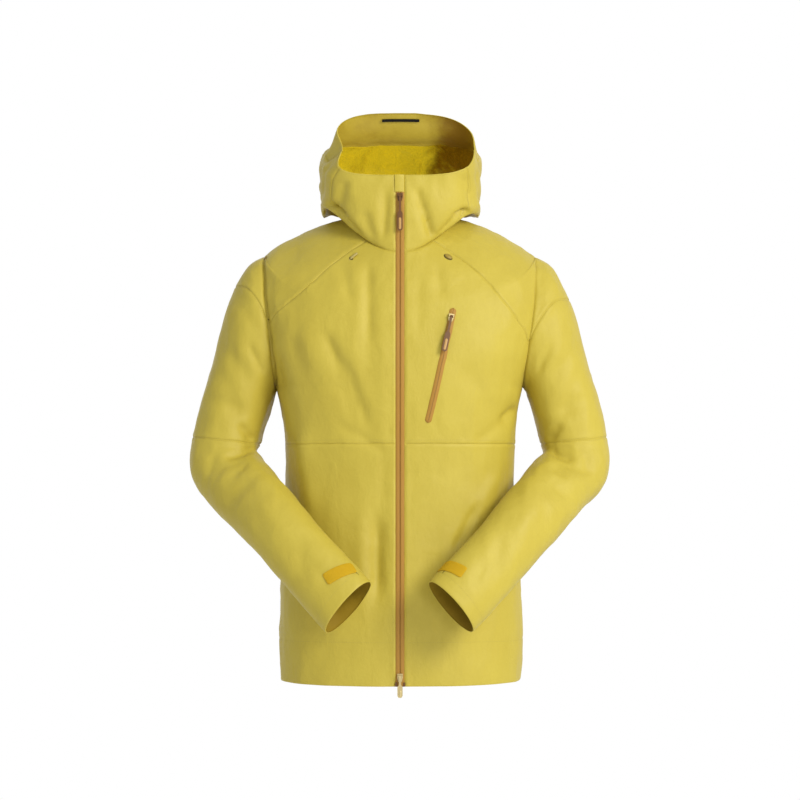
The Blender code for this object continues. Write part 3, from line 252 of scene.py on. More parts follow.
def woven(name, bright, dull, roughness, weave_depth, crumple, **fixed):
    """A woven cloth: threads that cross on the UV map, mottled between two colours."""
    cloth = Finish(name, roughness=roughness, **fixed)
    mottle = cloth.noise(cloth.place(), 9.0, detail=4.0, roughness=0.6)
    fine = cloth.noise(cloth.place(), 260.0, detail=2.0)
    across = cloth.wave(cloth.place(source="UV"), 0.5 / THREAD, "X")
    along = cloth.wave(cloth.place(source="UV"), 0.5 / THREAD, "Y")
    weave = across * along
    streaks = cloth.noise(cloth.place((1.0, 1.0, 0.25)), 70.0, detail=4.0, roughness=0.7)
    shade = mottle * 0.55 + streaks * 0.35 + fine * 0.2 + weave * 0.1 - 0.1
    cloth.feed("Base Color", cloth.blend(shade, colour(*dull), colour(*bright)))
    cloth.feed("Roughness", mottle * 0.10 + (roughness - 0.05))
    wrinkle = cloth.noise(cloth.place((1.0, 1.0, 0.7)), 38.0, detail=5.0, roughness=0.55,
                          distortion=0.4)
    cloth.bump(weave * weave_depth + wrinkle * crumple, 0.001)
    return cloth.material


SHELL = woven("shell cloth", (0.590, 0.480, 0.066), (0.455, 0.350, 0.034), 0.50, 0.05, 1.7,
              Sheen_Weight=0.03, Sheen_Roughness=0.4, Specular_IOR_Level=0.36)
LINING = woven("shell inner face", (0.40, 0.265, 0.018), (0.30, 0.185, 0.010), 0.46, 0.03, 1.8)
STRAP = woven("gold strap", (0.64, 0.41, 0.010), (0.54, 0.31, 0.006), 0.60, 0.20, 0.3,
              Specular_IOR_Level=0.2)
SEAM_TAPE = woven("seam tape", (0.42, 0.31, 0.030), (0.36, 0.25, 0.02), 0.35, 0.03, 0.5)
ZIP_TAPE = woven("zip tape", (0.44, 0.230, 0.036), (0.38, 0.190, 0.028), 0.46, 0.10, 0.2,
                 Specular_IOR_Level=0.3)
BLACK_TAPE = woven("black tape", (0.012, 0.012, 0.012), (0.008, 0.008, 0.008), 0.7, 0.2, 0.2,
                   Specular_IOR_Level=0.1)


def painted_hood_inside(name, bright, dark, painted_glow, crease_shade_scale, relief):
    """The hood's inner face. Its colour is painted shade: bright and dark patches that follow the
    crumples of its relief, and darker towards the wearer's left, away from the light. It also gives
    off a little light of the same colours, painted light that brightens the inside of the hood in
    place of light that comes through the thin cloth."""
    cloth = Finish(name, roughness=0.42, Emission_Strength=painted_glow, Specular_IOR_Level=0.3)
    patches = cloth.noise(cloth.place((1.0, 1.0, 0.8)), crease_shade_scale, detail=5.0, roughness=0.6,
                          distortion=0.45)
    split = cloth.node("ShaderNodeSeparateXYZ", {}, {0: cloth.place()})
    lit = cloth.node("ShaderNodeMapRange", {"interpolation_type": "SMOOTHSTEP"},
                     {"Value": split, "From Min": 0.095, "From Max": 0.020})
    fine = cloth.noise(cloth.place(), 240.0, detail=2.0)
    # painted shade: the crumple patches and the side away from the light darken the colour
    shade = cloth.node("ShaderNodeMapRange", {"interpolation_type": "SMOOTHSTEP"},
                       {"Value": patches * 0.9 + lit * 0.36 + fine * 0.08 - 0.04,
                        "From Min": 0.42, "From Max": 0.82})
    tone = cloth.blend(shade, colour(*dark), colour(*bright))
    cloth.feed("Base Color", tone)
    # painted light: the inner face gives off its own shaded colour as light
    cloth.feed("Emission Color", tone)
    cloth.feed("Roughness", patches * 0.2 + 0.32)
    cloth.bump(patches, relief)
    return cloth.material


# painted shade and painted light in both linings
PAINTED_HOOD_LINING = painted_hood_inside("hood inner face painted shade and light", (0.70, 0.57, 0.024), (0.16, 0.080, 0.002), 0.34,
                          19.0, 0.020)
PAINTED_BRIM_LINING = painted_hood_inside("brim lining painted shade and light", (0.46, 0.345, 0.036), (0.20, 0.105, 0.006), 0.10,
                          6.0, 0.003)
print("cloth finishes:", len(bpy.data.materials) - 1)

# %% [markdown]
# ## Hard finishes
# Moulded plastic, cast metal, thread and cord are never one flat colour. Each gets two close colours
# in uneven patches, a gloss that follows them, and a relief as fine as its grain. One function makes
# them all, so they differ only in their numbers.

# %% Plastic, metal and thread finishes
def speckled(name, bright, dull, roughness, scale, relief, metallic=0.0, **fixed):
    """A moulded or cast finish: two close colours, uneven gloss and a fine relief."""
    made = Finish(name, roughness=roughness, metallic=metallic, **fixed)
    patches = made.noise(made.place(), scale, detail=3.0)
    fine = made.noise(made.place(), scale * 12.0, detail=2.0)
    made.feed("Base Color", made.blend(patches * 0.7 + fine * 0.3, colour(*dull), colour(*bright)))
    made.feed("Roughness", patches * 0.14 + (roughness - 0.07))
    made.bump(fine, 0.0002, relief)
    return made.material


DARK_PULL = speckled("dark pull", (0.17, 0.070, 0.010), (0.10, 0.036, 0.005), 0.42, 160.0, 0.3)
PALE_INLAY = speckled("pale inlay", (0.52, 0.30, 0.09), (0.44, 0.24, 0.06), 0.45, 160.0, 0.3)
BRONZE = speckled("pale gold metal", (0.74, 0.62, 0.32), (0.55, 0.42, 0.17), 0.32, 120.0, 0.2,
                  metallic=0.6)
TOOTH = speckled("zip tooth", (0.24, 0.105, 0.016), (0.19, 0.08, 0.012), 0.40, 300.0, 0.2)
BUTTON = speckled("olive button", (0.36, 0.26, 0.035), (0.27, 0.18, 0.018), 0.38, 260.0, 0.3)
# painted shade: a dark colour for the hole, the ring under the button and the strap slits
PAINTED_SHADE = speckled("painted dark shade", (0.10, 0.070, 0.004), (0.06, 0.040, 0.002), 0.7, 300.0, 0.3)
THREAD_YELLOW = speckled("sewing thread", (0.44, 0.36, 0.07), (0.36, 0.28, 0.05), 0.6, 900.0, 0.6)
CORD = speckled("cord", (0.50, 0.41, 0.13), (0.40, 0.31, 0.08), 0.6, 900.0, 0.8)
print("all finishes:", len(bpy.data.materials) - 1)

# %% [markdown]
# ## Curves through a table
# A garment's shape is a list of cross sections. Each section is a short row of numbers, and smooth
# curves run through them, so the surface can be read at any place between two rows. The tables are
# the same as those of the packed frame, and that is why the cloth lies exactly on it.

# %% Curves, soft steps and rounded sections
COLUMNS = 9                 # the frame's mesh columns in a quarter of the torso or hood
SLEEVE_COLUMNS = 20         # and round a sleeve
SIDES = ((1, "left"), (-1, "right"))    # the wearer's left is +X


def smooth(rows, where):
    """Catmull-Rom curve through the rows at fractional row numbers: a cubic whose slope at each row
    is half the step from the row before to the row after."""
    rows = np.asarray(rows, float)
    where = np.asarray(where, float)
    below = np.clip(np.floor(where).astype(int), 0, len(rows) - 2)
    share = (where - below)[..., None]
    before = rows[np.maximum(below - 1, 0)]
    start = rows[below]
    end = rows[below + 1]
    after = rows[np.minimum(below + 2, len(rows) - 1)]
    return 0.5 * (2.0 * start + (end - before) * share
                  + (2.0 * before - 5.0 * start + 4.0 * end - after) * share ** 2
                  + (3.0 * start - before - 3.0 * end + after) * share ** 3)


def ease(value):
    """3 v squared minus 2 v cubed: 0 to 1 with a soft start and end."""
    value = np.clip(value, 0.0, 1.0)
    return value * value * (3.0 - 2.0 * value)


def bell(value, width):
    """1 at 0, falling off softly to both sides: e to the power of minus (value / width) squared."""
    return np.exp(-(value / width) ** 2)


def lengths(path):
    """The length of a path up to each of its points: its steps added up."""
    return np.concatenate([[0.0], np.cumsum(np.linalg.norm(np.diff(path, axis=0), axis=1))])


def unit(vectors):
    """Vectors of length 1."""
    return vectors / np.maximum(np.linalg.norm(vectors, axis=-1, keepdims=True), 1e-9)


def wrapped(column):
    """Columns brought between the middle of the back on one side and on the other."""
    half_way = 2.0 * COLUMNS
    return np.mod(np.asarray(column, float) + half_way, 2.0 * half_way) - half_way


def rounded(angle, square):
    """Sine and cosine of an angle, stretched to lie on a rounded square. The sum of both, each
    raised to the power square, is 1: 2 gives a circle and more gives squarer corners."""
    sine = np.sin(angle)
    cosine = np.cos(angle)
    reach = (np.abs(sine) ** square + np.abs(cosine) ** square) ** (-1.0 / square)
    return sine * reach, cosine * reach


print("a rounded corner reaches", round(float(rounded(math.pi / 4.0, 2.5)[0]), 3))

# %% [markdown]
# ## The torso
# The body is a tube with a front and a back. Each section runs from the middle of the front or back
# to an edge at the side. Between the armpit and the shoulder point that edge climbs round the
# armhole, which is an upright egg, so the shoulder closes over by itself.

# %% Torso tables
# armhole: an upright egg that leans with the shoulder
ARMHOLE_STEPS = SLEEVE_COLUMNS // 2
ARMHOLE_TOP = -0.067
ARMHOLE_BOTTOM = -0.285
ARMHOLE_Y = 0.010
ARMHOLE_FRONT_REACH = 0.076
ARMHOLE_BACK_REACH = 0.074
ARMHOLE_EGG = 0.12          # how much narrower its top is than its bottom
# how far from the middle of the body the armhole lies, every 36 degrees from its top to its bottom
ARMHOLE_X_DEGREES = 36.0
ARMHOLE_X = (0.2225, 0.2230, 0.2195, 0.2105, 0.2035, 0.2030)

# torso sections; left and right are alike
TorsoRow = namedtuple("TorsoRow", "place front_y front_z side_x side_y side_z back_y back_z square")
LOWER_TORSO = (
    TorsoRow("hem", -0.131, -0.765, 0.1965, 0.005, -0.762, 0.135, -0.783, 2.5),
    TorsoRow("hem line", -0.132, -0.696, 0.1995, 0.005, -0.698, 0.136, -0.712, 2.5),
    TorsoRow("skirt", -0.131, -0.600, 0.1970, 0.005, -0.602, 0.131, -0.612, 2.5),
    TorsoRow("low waist", -0.127, -0.500, 0.1895, 0.004, -0.502, 0.120, -0.506, 2.5),
    TorsoRow("waist", -0.126, -0.430, 0.1870, 0.004, -0.432, 0.113, -0.432, 2.5),
    TorsoRow("seam", -0.129, -0.377, 0.1885, 0.004, -0.377, 0.115, -0.377, 2.5),
    TorsoRow("rib", -0.134, -0.330, 0.1940, 0.005, -0.328, 0.122, -0.328, 2.5),
    TorsoRow("armpit", -0.138, -0.290, 0.2030, 0.010, -0.285, 0.131, -0.280, 2.5),
)
SHOULDERS = (
    TorsoRow("shoulder point", -0.124, -0.150, 0.2225, 0.010, -0.067, 0.124, -0.080, 2.4),
    TorsoRow("outer shoulder", -0.119, -0.131, 0.2010, 0.012, -0.052, 0.119, -0.057, 2.3),
    TorsoRow("mid shoulder", -0.113, -0.112, 0.1730, 0.012, -0.036, 0.112, -0.040, 2.3),
    TorsoRow("inner shoulder", -0.105, -0.091, 0.1330, 0.011, -0.016, 0.100, -0.021, 2.2),
    TorsoRow("neck", -0.096, -0.065, 0.0800, 0.008, 0.000, 0.076, -0.005, 2.2),
)
CHEST_FULLNESS = 0.006      # how far the chest and shoulder blades stand out between those rows
ARMHOLE_TURN = 0.30         # how much less far a section turns beside the armhole
print("torso rows:", len(LOWER_TORSO), "below the armpit and", len(SHOULDERS), "above")

# %% [markdown]
# ## Rows round the armhole
# The shoulder is the hard part of a garment. Between the armpit and the shoulder point, rows are
# blended from the two rows of the tables, and their outer ends are taken from the armhole's egg.
# The chest and the shoulder blades stand out a little more between them.

# %% Torso rows
def armhole(half, degrees):
    """A point of the armhole on the wearer's left, at an angle from its top down to the armpit."""
    turn = np.radians(degrees)
    middle = (ARMHOLE_TOP + ARMHOLE_BOTTOM) / 2.0
    half_height = (ARMHOLE_TOP - ARMHOLE_BOTTOM) / 2.0
    reach = -ARMHOLE_FRONT_REACH if half == "front" else ARMHOLE_BACK_REACH
    x = smooth(np.array(ARMHOLE_X)[:, None], np.asarray(degrees) / ARMHOLE_X_DEGREES)[..., 0]
    y = ARMHOLE_Y + reach * np.sin(turn) * (1.0 - ARMHOLE_EGG * np.cos(turn))
    z = middle + half_height * np.cos(turn)
    return x, y, z


def torso_rows(half):
    """Rows from the hem to the neck: centre y and z, edge x, y and z, squareness and turn.
    Between the armpit and the shoulder point the edge runs up the armhole."""
    def plain(row):
        centre = (row.front_y, row.front_z) if half == "front" else (row.back_y, row.back_z)
        return (*centre, row.side_x, row.side_y, row.side_z, row.square, 1.0)

    low = plain(LOWER_TORSO[-1])
    high = plain(SHOULDERS[0])
    outward = -1.0 if half == "front" else 1.0
    rows = [plain(row) for row in LOWER_TORSO]
    for step in range(1, ARMHOLE_STEPS):
        share = step / ARMHOLE_STEPS
        arch = math.sin(math.pi * share)
        centre_y = low[0] + (high[0] - low[0]) * share + outward * CHEST_FULLNESS * arch
        centre_z = low[1] + (high[1] - low[1]) * share
        edge = armhole(half, 180.0 * (1.0 - share))
        square = low[5] + (high[5] - low[5]) * share
        rows.append((centre_y, centre_z, *(float(value) for value in edge), square,
                     1.0 - ARMHOLE_TURN * arch))
    rows += [plain(row) for row in SHOULDERS]
    return np.array(rows)


TORSO_ROWS = {half: torso_rows(half) for half in ("front", "back")}
EDGE = slice(2, 5)          # the edge's x, y and z within a row
ARMPIT_ROW = len(LOWER_TORSO) - 1
SHOULDER_ROW = ARMPIT_ROW + ARMHOLE_STEPS
NECK_ROW = SHOULDER_ROW + len(SHOULDERS) - 1
SEAM_ROW = [row.place for row in LOWER_TORSO].index("seam")
print("rows: armpit", ARMPIT_ROW, "shoulder", SHOULDER_ROW, "neck", NECK_ROW)

# %% [markdown]
# ## From rows to a surface
# A point is found from a fractional row and column. The row's values come from the smooth curves.
# The column then gives a share of a quarter turn on a rounded square between the section's middle
# and its edge. Any mesh can be laid on such a surface, as fine as it has to be.

# %% Torso surface
RIDGE_ROUNDING = 1.5        # above 1, the cloth runs level over the shoulder ridge
FOLD_FADE_ROWS = 2.0        # folds die out over this many rows towards a neck or armhole seam


def quarter(values, share):
    """A point of a section between its centre (share 0) and its edge (share 1)."""
    centre_y, centre_z, edge_x, edge_y, edge_z, square, turn = np.moveaxis(values, -1, 0)
    across, along = rounded(0.5 * math.pi * share * turn, square)
    across_end, along_end = rounded(0.5 * math.pi * turn, square)
    width = across / across_end
    depth = (along - along_end) / (1.0 - along_end)
    return edge_x * width, edge_y + (centre_y - edge_y) * depth, edge_z, centre_z - edge_z, depth


def torso_values(half, row):
    """A row of the torso. Its edge bends at the armpit and at the shoulder point, so that front and
    back keep one side seam and one shoulder seam."""
    rows = TORSO_ROWS[half]
    values = smooth(rows, row)
    for start, end in ((0, ARMPIT_ROW), (ARMPIT_ROW, SHOULDER_ROW), (SHOULDER_ROW, NECK_ROW)):
        inside = (row >= start) & (row <= end)
        edge = smooth(rows[start:end + 1, EDGE], row - start)
        values[..., EDGE] = np.where(inside[..., None], edge, values[..., EDGE])
    return values


def section_point(values, share, side, rounding):
    """A point of a quarter section."""
    x, y, edge_z, drop, depth = quarter(values, share)
    z = edge_z + drop * np.sign(depth) * np.abs(depth) ** rounding
    return np.stack([x * side, y, z], axis=-1)


def torso_base(half):
    """The front or back of the torso before its folds. Columns count from 0 at the middle of the
    front to 2 * COLUMNS at the middle of the back, and are negative on the wearer's right."""
    def base(row, column):
        row = np.asarray(row, float)
        column = wrapped(column)
        share = np.abs(column) / COLUMNS
        share = share if half == "front" else 2.0 - share
        rounding = 1.0 + (RIDGE_ROUNDING - 1.0) * ease((row - SHOULDER_ROW + 3.0) / 3.0)
        side = np.where(column < 0, -1.0, 1.0)
        return section_point(torso_values(half, row), share, side, rounding)
    return base


def torso_fade(row, column):
    """Folds die out towards the neck seam and towards the armhole's edge."""
    from_neck = ease((NECK_ROW - row) / FOLD_FADE_ROWS)
    in_armhole = ease(row - ARMPIT_ROW + 1.0) * ease(SHOULDER_ROW + 1.0 - row)
    from_edge = ease(np.abs(np.abs(column) - COLUMNS) / FOLD_FADE_ROWS)
    return from_neck * (1.0 - in_armhole * (1.0 - from_edge))


def girth(base, row, columns):
    """The length once round a surface at a row."""
    around = np.linspace(0.0, columns, 200)
    return round(float(lengths(base(np.full_like(around, row), around))[-1]), 3)


print("round half a chest:", girth(torso_base("front"), ARMPIT_ROW, COLUMNS), "m")

# %% [markdown]
# ## The hood
# The hood rises from the neck seam, rolls out over the shoulders and closes over the head. Its last
# section is the face opening, which leans back from the chin to the brim.

# %% Hood tables
# hood sections, from the neck seam to the face opening
HoodRow = namedtuple("HoodRow", "place front_y front_z side_x side_y side_z back_y back_z "
                                "square_front square_back")
HOOD = (
    HoodRow("neck", -0.096, -0.065, 0.0800, 0.008, 0.000, 0.076, -0.005, 2.2, 2.2),
    HoodRow("stand", -0.097, -0.053, 0.0895, 0.009, 0.012, 0.086, 0.007, 2.3, 2.2),
    HoodRow("roll", -0.098, -0.042, 0.1120, 0.011, 0.013, 0.106, 0.010, 2.4, 2.3),
    HoodRow("droop", -0.099, -0.031, 0.1275, 0.013, -0.003, 0.124, 0.014, 2.5, 2.3),
    HoodRow("full side", -0.099, -0.018, 0.1335, 0.015, 0.016, 0.135, 0.038, 2.7, 2.4),
    HoodRow("nape", -0.100, 0.001, 0.1340, 0.013, 0.036, 0.139, 0.074, 2.8, 2.5),
    HoodRow("crown back", -0.100, 0.018, 0.1330, 0.006, 0.055, 0.118, 0.114, 2.9, 2.6),
    HoodRow("crown", -0.099, 0.033, 0.1310, -0.008, 0.073, 0.062, 0.136, 3.0, 2.8),
    HoodRow("brim seam", -0.098, 0.047, 0.1265, -0.036, 0.088, -0.004, 0.119, 3.2, 3.0),
    HoodRow("face opening", -0.097, 0.059, 0.1190, -0.066, 0.108, -0.040, 0.1665, 3.7, 2.6),
)
HOOD_SHIFT = 0.0012         # the hood has settled a little to the wearer's left
COLLAR_COLUMN = 5           # columns from the middle of the front to the collar's side seam
CENTRE_COLUMN = 14          # columns from the middle of the front to the hood's centre strip
BRIM_COLUMN = 8             # columns from the middle of the front to the brim band's end
BRIM_SEAM_ROW = 8
OVERHANG_ROWS = (0.5, 1.5, 2.5, 3.5)    # more rows of mesh where the hood rolls over the neck seam
ROLL_END = 5                # row at which the roll over the neck seam ends
STRAIGHT_TO = 4.5           # columns up to which the collar rises straight instead
ROLL_FROM = 7.4             # column from which the hood rolls over
COLLAR_FLARE = 1.6          # above 1, the collar widens first and then rises upright
NOTCH = {1: 0.014, -1: 0.022}   # how far the roll is lifted beside the collar, on each side
NOTCH_COLUMN = 7.0
NOTCH_ROW = 2.8
NOTCH_SPREAD = (1.5, 1.4)   # columns and rows
RIM_CURL = {1: 0.0, -1: 0.0245}  # how far the face opening's side is drawn in, on each side
RIM_CURL_COLUMN = 8.7
RIM_CURL_SPREAD = 3.2       # columns
RIM_CURL_ROWS = (7.6, 9.0)  # rows over which it grows
print("hood rows:", len(HOOD))

# %% [markdown]
# ## The hood's surface
# The hood is the torso's formula again, on its own table and with the same columns, so both meet at
# the neck seam. Three local changes follow: the collar rises straight, the roll is lifted beside
# it, and the rim is drawn in on one side.

# %% Hood surface
def hood_rows(half):
    """Rows from the neck seam to the face opening, as torso_rows gives them."""
    rows = []
    for row in HOOD:
        front = half == "front"
        centre = (row.front_y, row.front_z) if front else (row.back_y, row.back_z)
        square = row.square_front if front else row.square_back
        rows.append((*centre, row.side_x, row.side_y, row.side_z, square, 1.0))
    return np.array(rows)


HOOD_ROWS = {half: hood_rows(half) for half in ("front", "back")}
OPENING_ROW = len(HOOD) - 1


def hood_section(row, column):
    """The hood as its table gives it, alike on both sides."""
    size = np.abs(column)
    side = np.where(column < 0, -1.0, 1.0)
    rounding = 1.0 + (RIDGE_ROUNDING - 1.0) * ease(1.0 - row)
    front = section_point(smooth(HOOD_ROWS["front"], row), size / COLUMNS, side, rounding)
    back = section_point(smooth(HOOD_ROWS["back"], row), 2.0 - size / COLUMNS, side, rounding)
    return np.where((size <= COLUMNS)[..., None], front, back)


def by_side(values, column):
    """The value for the side of the body on which a column lies."""
    return np.where(column < 0, values[-1], values[1])


def hood_base(row, column):
    """The hood before its folds, with the torso's columns. The collar rises straight at the front;
    beside it the hood rolls over the neck seam, higher where it leaves the collar. The side of the
    face opening is drawn in on the wearer's right."""
    row = np.asarray(row, float)
    column = wrapped(column)
    size = np.abs(column)
    points = hood_section(row, column)
    low = hood_section(np.zeros_like(row + size), column)
    high = hood_section(np.full_like(row + size, ROLL_END), column)
    share = np.minimum(row / ROLL_END, 1.0)
    flare = 1.0 - (1.0 - share) ** COLLAR_FLARE
    shares = np.stack(np.broadcast_arrays(flare, share, share + 0.0 * size), axis=-1)
    weight = ease((ROLL_FROM - size) / (ROLL_FROM - STRAIGHT_TO)) * (row < ROLL_END)
    points += (low + (high - low) * shares - points) * weight[..., None]
    lift = by_side(NOTCH, column) * bell(size - NOTCH_COLUMN, NOTCH_SPREAD[0])
    lift = lift * bell(row - NOTCH_ROW, NOTCH_SPREAD[1])
    curl = by_side(RIM_CURL, column) * bell(size - RIM_CURL_COLUMN, RIM_CURL_SPREAD)
    start, end = RIM_CURL_ROWS
    points[..., 0] += HOOD_SHIFT * ease(row / 3.0) * ease(size / 2.0)
    points[..., 0] += curl * ease((row - start) / (end - start))
    points[..., 2] += lift * ease(row)
    return points


def hood_fade(row, column):
    """Folds die out towards the neck seam and the face opening."""
    return ease(row / FOLD_FADE_ROWS) * ease((OPENING_ROW - row) / FOLD_FADE_ROWS + 0.3)


print("round the face opening:", girth(hood_base, OPENING_ROW, 4 * COLUMNS), "m")

# %% [markdown]
# ## The sleeves
# A sleeve is a bent tube. Each section is given by its outer and inner side as seen from the front,
# and how deep it is. The first one takes on the armhole's egg, so that it meets the body.

# %% Sleeve tables
# sleeve sections on the wearer's left, from the armhole to the cuff
# tilt turns a section from upright (0) to square with the sleeve's middle line (1)
SleeveRow = namedtuple("SleeveRow", "place out_x out_z in_x in_z mid_y depth square tilt")
SLEEVE = (
    SleeveRow("armhole", 0.2225, -0.067, 0.2030, -0.285, 0.011, 0.150, 2.0, 0.0),
    SleeveRow("cap", 0.2520, -0.087, 0.2075, -0.292, 0.012, 0.156, 2.1, 0.0),
    SleeveRow("cap seam", 0.2840, -0.150, 0.2115, -0.306, 0.013, 0.156, 2.2, 0.0),
    SleeveRow("mid arm", 0.3040, -0.222, 0.2175, -0.326, 0.014, 0.150, 2.3, 0.0),
    SleeveRow("low arm", 0.3240, -0.292, 0.2255, -0.350, 0.013, 0.143, 2.3, 0.0),
    SleeveRow("elbow seam", 0.3415, -0.365, 0.2330, -0.376, 0.007, 0.134, 2.3, 0.0),
    SleeveRow("elbow", 0.3445, -0.409, 0.2360, -0.388, -0.007, 0.126, 2.3, 0.1),
    SleeveRow("elbow end", 0.3280, -0.453, 0.2290, -0.397, -0.030, 0.118, 2.3, 0.25),
    SleeveRow("forearm", 0.2960, -0.485, 0.2120, -0.413, -0.062, 0.110, 2.3, 0.45),
    SleeveRow("mid forearm", 0.2490, -0.530, 0.1780, -0.450, -0.112, 0.100, 2.2, 0.75),
    SleeveRow("low forearm", 0.2000, -0.582, 0.1320, -0.505, -0.155, 0.090, 2.2, 1.0),
    SleeveRow("above cuff", 0.1540, -0.632, 0.0850, -0.553, -0.186, 0.078, 2.1, 1.0),
    SleeveRow("cuff", 0.1150, -0.673, 0.0465, -0.594, -0.208, 0.066, 2.0, 1.0),
)
ARMHOLE_BLEND = 3.0         # rows over which the sleeve takes on its own sections
ELBOW_SEAM_ROW = 5
# where the slanted cap seam crosses the top of the sleeve, and the column at which it meets the
# armhole: it hangs lower on the wearer's left (1) than on the right (-1)
CAP_SEAM_ROW = {1: 1.85, -1: 1.55}
CAP_SEAM_COLUMN = {1: 6, -1: 5}
print("sleeve rows:", len(SLEEVE))

# %% [markdown]
# ## The sleeve's surface
# The sleeve's middle line runs half way between its outer and inner side, and each section stands
# across it on a rounded square. Near the shoulder the sections are upright, and towards the cuff
# they tilt with the arm.

# %% Sleeve surface
SLEEVE_ROWS = np.array([row[1:] for row in SLEEVE])
CUFF_ROW = len(SLEEVE) - 1


def sleeve_section(row, degrees):
    """A rounded section of the sleeve. 0 degrees is its outer side, 90 its front, 180 its inner
    side and 270 its back."""
    def middle(where):
        values = smooth(SLEEVE_ROWS, where)
        return np.stack([(values[..., 0] + values[..., 2]) / 2.0, values[..., 4],
                         (values[..., 1] + values[..., 3]) / 2.0], axis=-1)

    step = 0.05
    values = smooth(SLEEVE_ROWS, row)
    along = middle(row + step) - middle(row - step)
    flat = np.zeros_like(values[..., 0])
    outward = np.stack([(values[..., 0] - values[..., 2]) / 2.0, flat,
                        (values[..., 1] - values[..., 3]) / 2.0], axis=-1)
    forward = unit(np.cross(outward, along))
    forward *= np.where(forward[..., 1:2] > 0, -1.0, 1.0)
    tilt = values[..., 7:8]
    forward = unit(forward * tilt + np.array([0.0, -1.0, 0.0]) * (1.0 - tilt))
    across, up = rounded(np.radians(degrees), values[..., 6])
    return (middle(row) + outward * up[..., None]
            + forward * (values[..., 5] / 2.0 * across)[..., None])


def armhole_ring(degrees):
    """The armhole as a closed curve, by the sleeve's angles."""
    degrees = np.mod(degrees, 360.0)
    front = np.stack(armhole("front", np.minimum(degrees, 180.0)), axis=-1)
    back = np.stack(armhole("back", np.minimum(360.0 - degrees, 180.0)), axis=-1)
    return np.where((degrees <= 180.0)[..., None], front, back)


def sleeve_base(side):
    """The sleeve before its folds; side is 1 on the wearer's left and -1 on the right."""
    def base(row, column):
        row = np.asarray(row, float)
        degrees = np.asarray(column, float) * 360.0 / SLEEVE_COLUMNS
        points = sleeve_section(row, degrees)
        first = sleeve_section(np.zeros_like(row), degrees)
        blend = 1.0 - ease(row / ARMHOLE_BLEND)
        points = points + (armhole_ring(degrees) - first) * blend[..., None]
        return points * np.array([side, 1.0, 1.0])
    return base


def sleeve_fade(row, column):
    """Folds die out towards the armhole and the cuff."""
    return ease(row / FOLD_FADE_ROWS) * ease((CUFF_ROW - row) / FOLD_FADE_ROWS + 0.2)


print("round a cuff:", girth(sleeve_base(1), CUFF_ROW, SLEEVE_COLUMNS), "m")

# %% [markdown]
# ## Folds and crumpling
# Cloth that is filled out still carries soft troughs where it is pulled, and small creases where it
# is pushed together. A trough is a line with a depth that falls off to its sides. Fine crumpling is
# lattice noise: random heights on a grid of points in space, joined by soft curves, and stretched
# where the cloth hangs. Both are pushed along the surface's normal, as a sculptor would.

# %% Fold tables
# the largest folds. A fold is a soft trough (negative depth) or ridge along a line that is seen
# from the front, back, left or right; across and up are x and z, or y and z from the sides. All
# numbers of the tables are in millimetres
Fold = namedtuple("Fold", "seen across_0 up_0 across_1 up_1 half_width depth")
MILLIMETRE = 0.001


def folds(seen, rows):
    """The rows of a table as folds in metres that are seen from one side."""
    return [Fold(seen, *(value * MILLIMETRE for value in row)) for row in rows]


TORSO_FOLDS = folds("front", [
    (-50, -85, -52, -290, 16, -3),
    (-125, -210, -60, -350, 17, -4.5),
    (-178, -205, -155, -265, 14, -4),
    (-38, -485, -36, -640, 20, -4),
    (60, -470, 50, -640, 22, -3),
    (190, -315, 165, -345, 13, -4),
    (118, -480, 90, -560, 18, -4),
    (-140, -600, -120, -740, 22, -3.5),
    (140, -600, 125, -740, 22, -3.5),
]) + folds("back", [
    (-120, -150, -70, -290, 20, -4.5),
    (115, -160, 75, -300, 20, -4.5),
    (-85, -400, -60, -660, 24, -4.5),
    (80, -380, 70, -620, 24, -4.5),
    (-60, -345, 70, -360, 18, -3.5),
])
SLEEVE_FOLDS = folds("front", [
    (300, -200, 245, -275, 14, -3.5),
    (315, -300, 250, -330, 13, -3.5),
    (250, -405, 310, -420, 12, -4.5),
    (235, -430, 285, -475, 13, -4),
    (160, -520, 150, -590, 13, -3),
]) + folds("back", [
    (300, -220, 240, -300, 15, -4),
    (330, -360, 260, -385, 14, -4.5),
    (320, -420, 250, -440, 14, -4),
])
HOOD_FOLDS = folds("front", [
    (-22, 40, -28, -45, 10, -3),
    (30, 20, 50, -45, 10, -3),
]) + folds("left", [
    (-40, 60, 60, 10, 14, -4.5),
]) + folds("right", [
    (-35, 65, 70, 20, 14, -4.5),
]) + folds("back", [
    (-70, 30, 70, 40, 14, -4.5),
    (-60, 80, 50, 74, 14, -3.5),
])
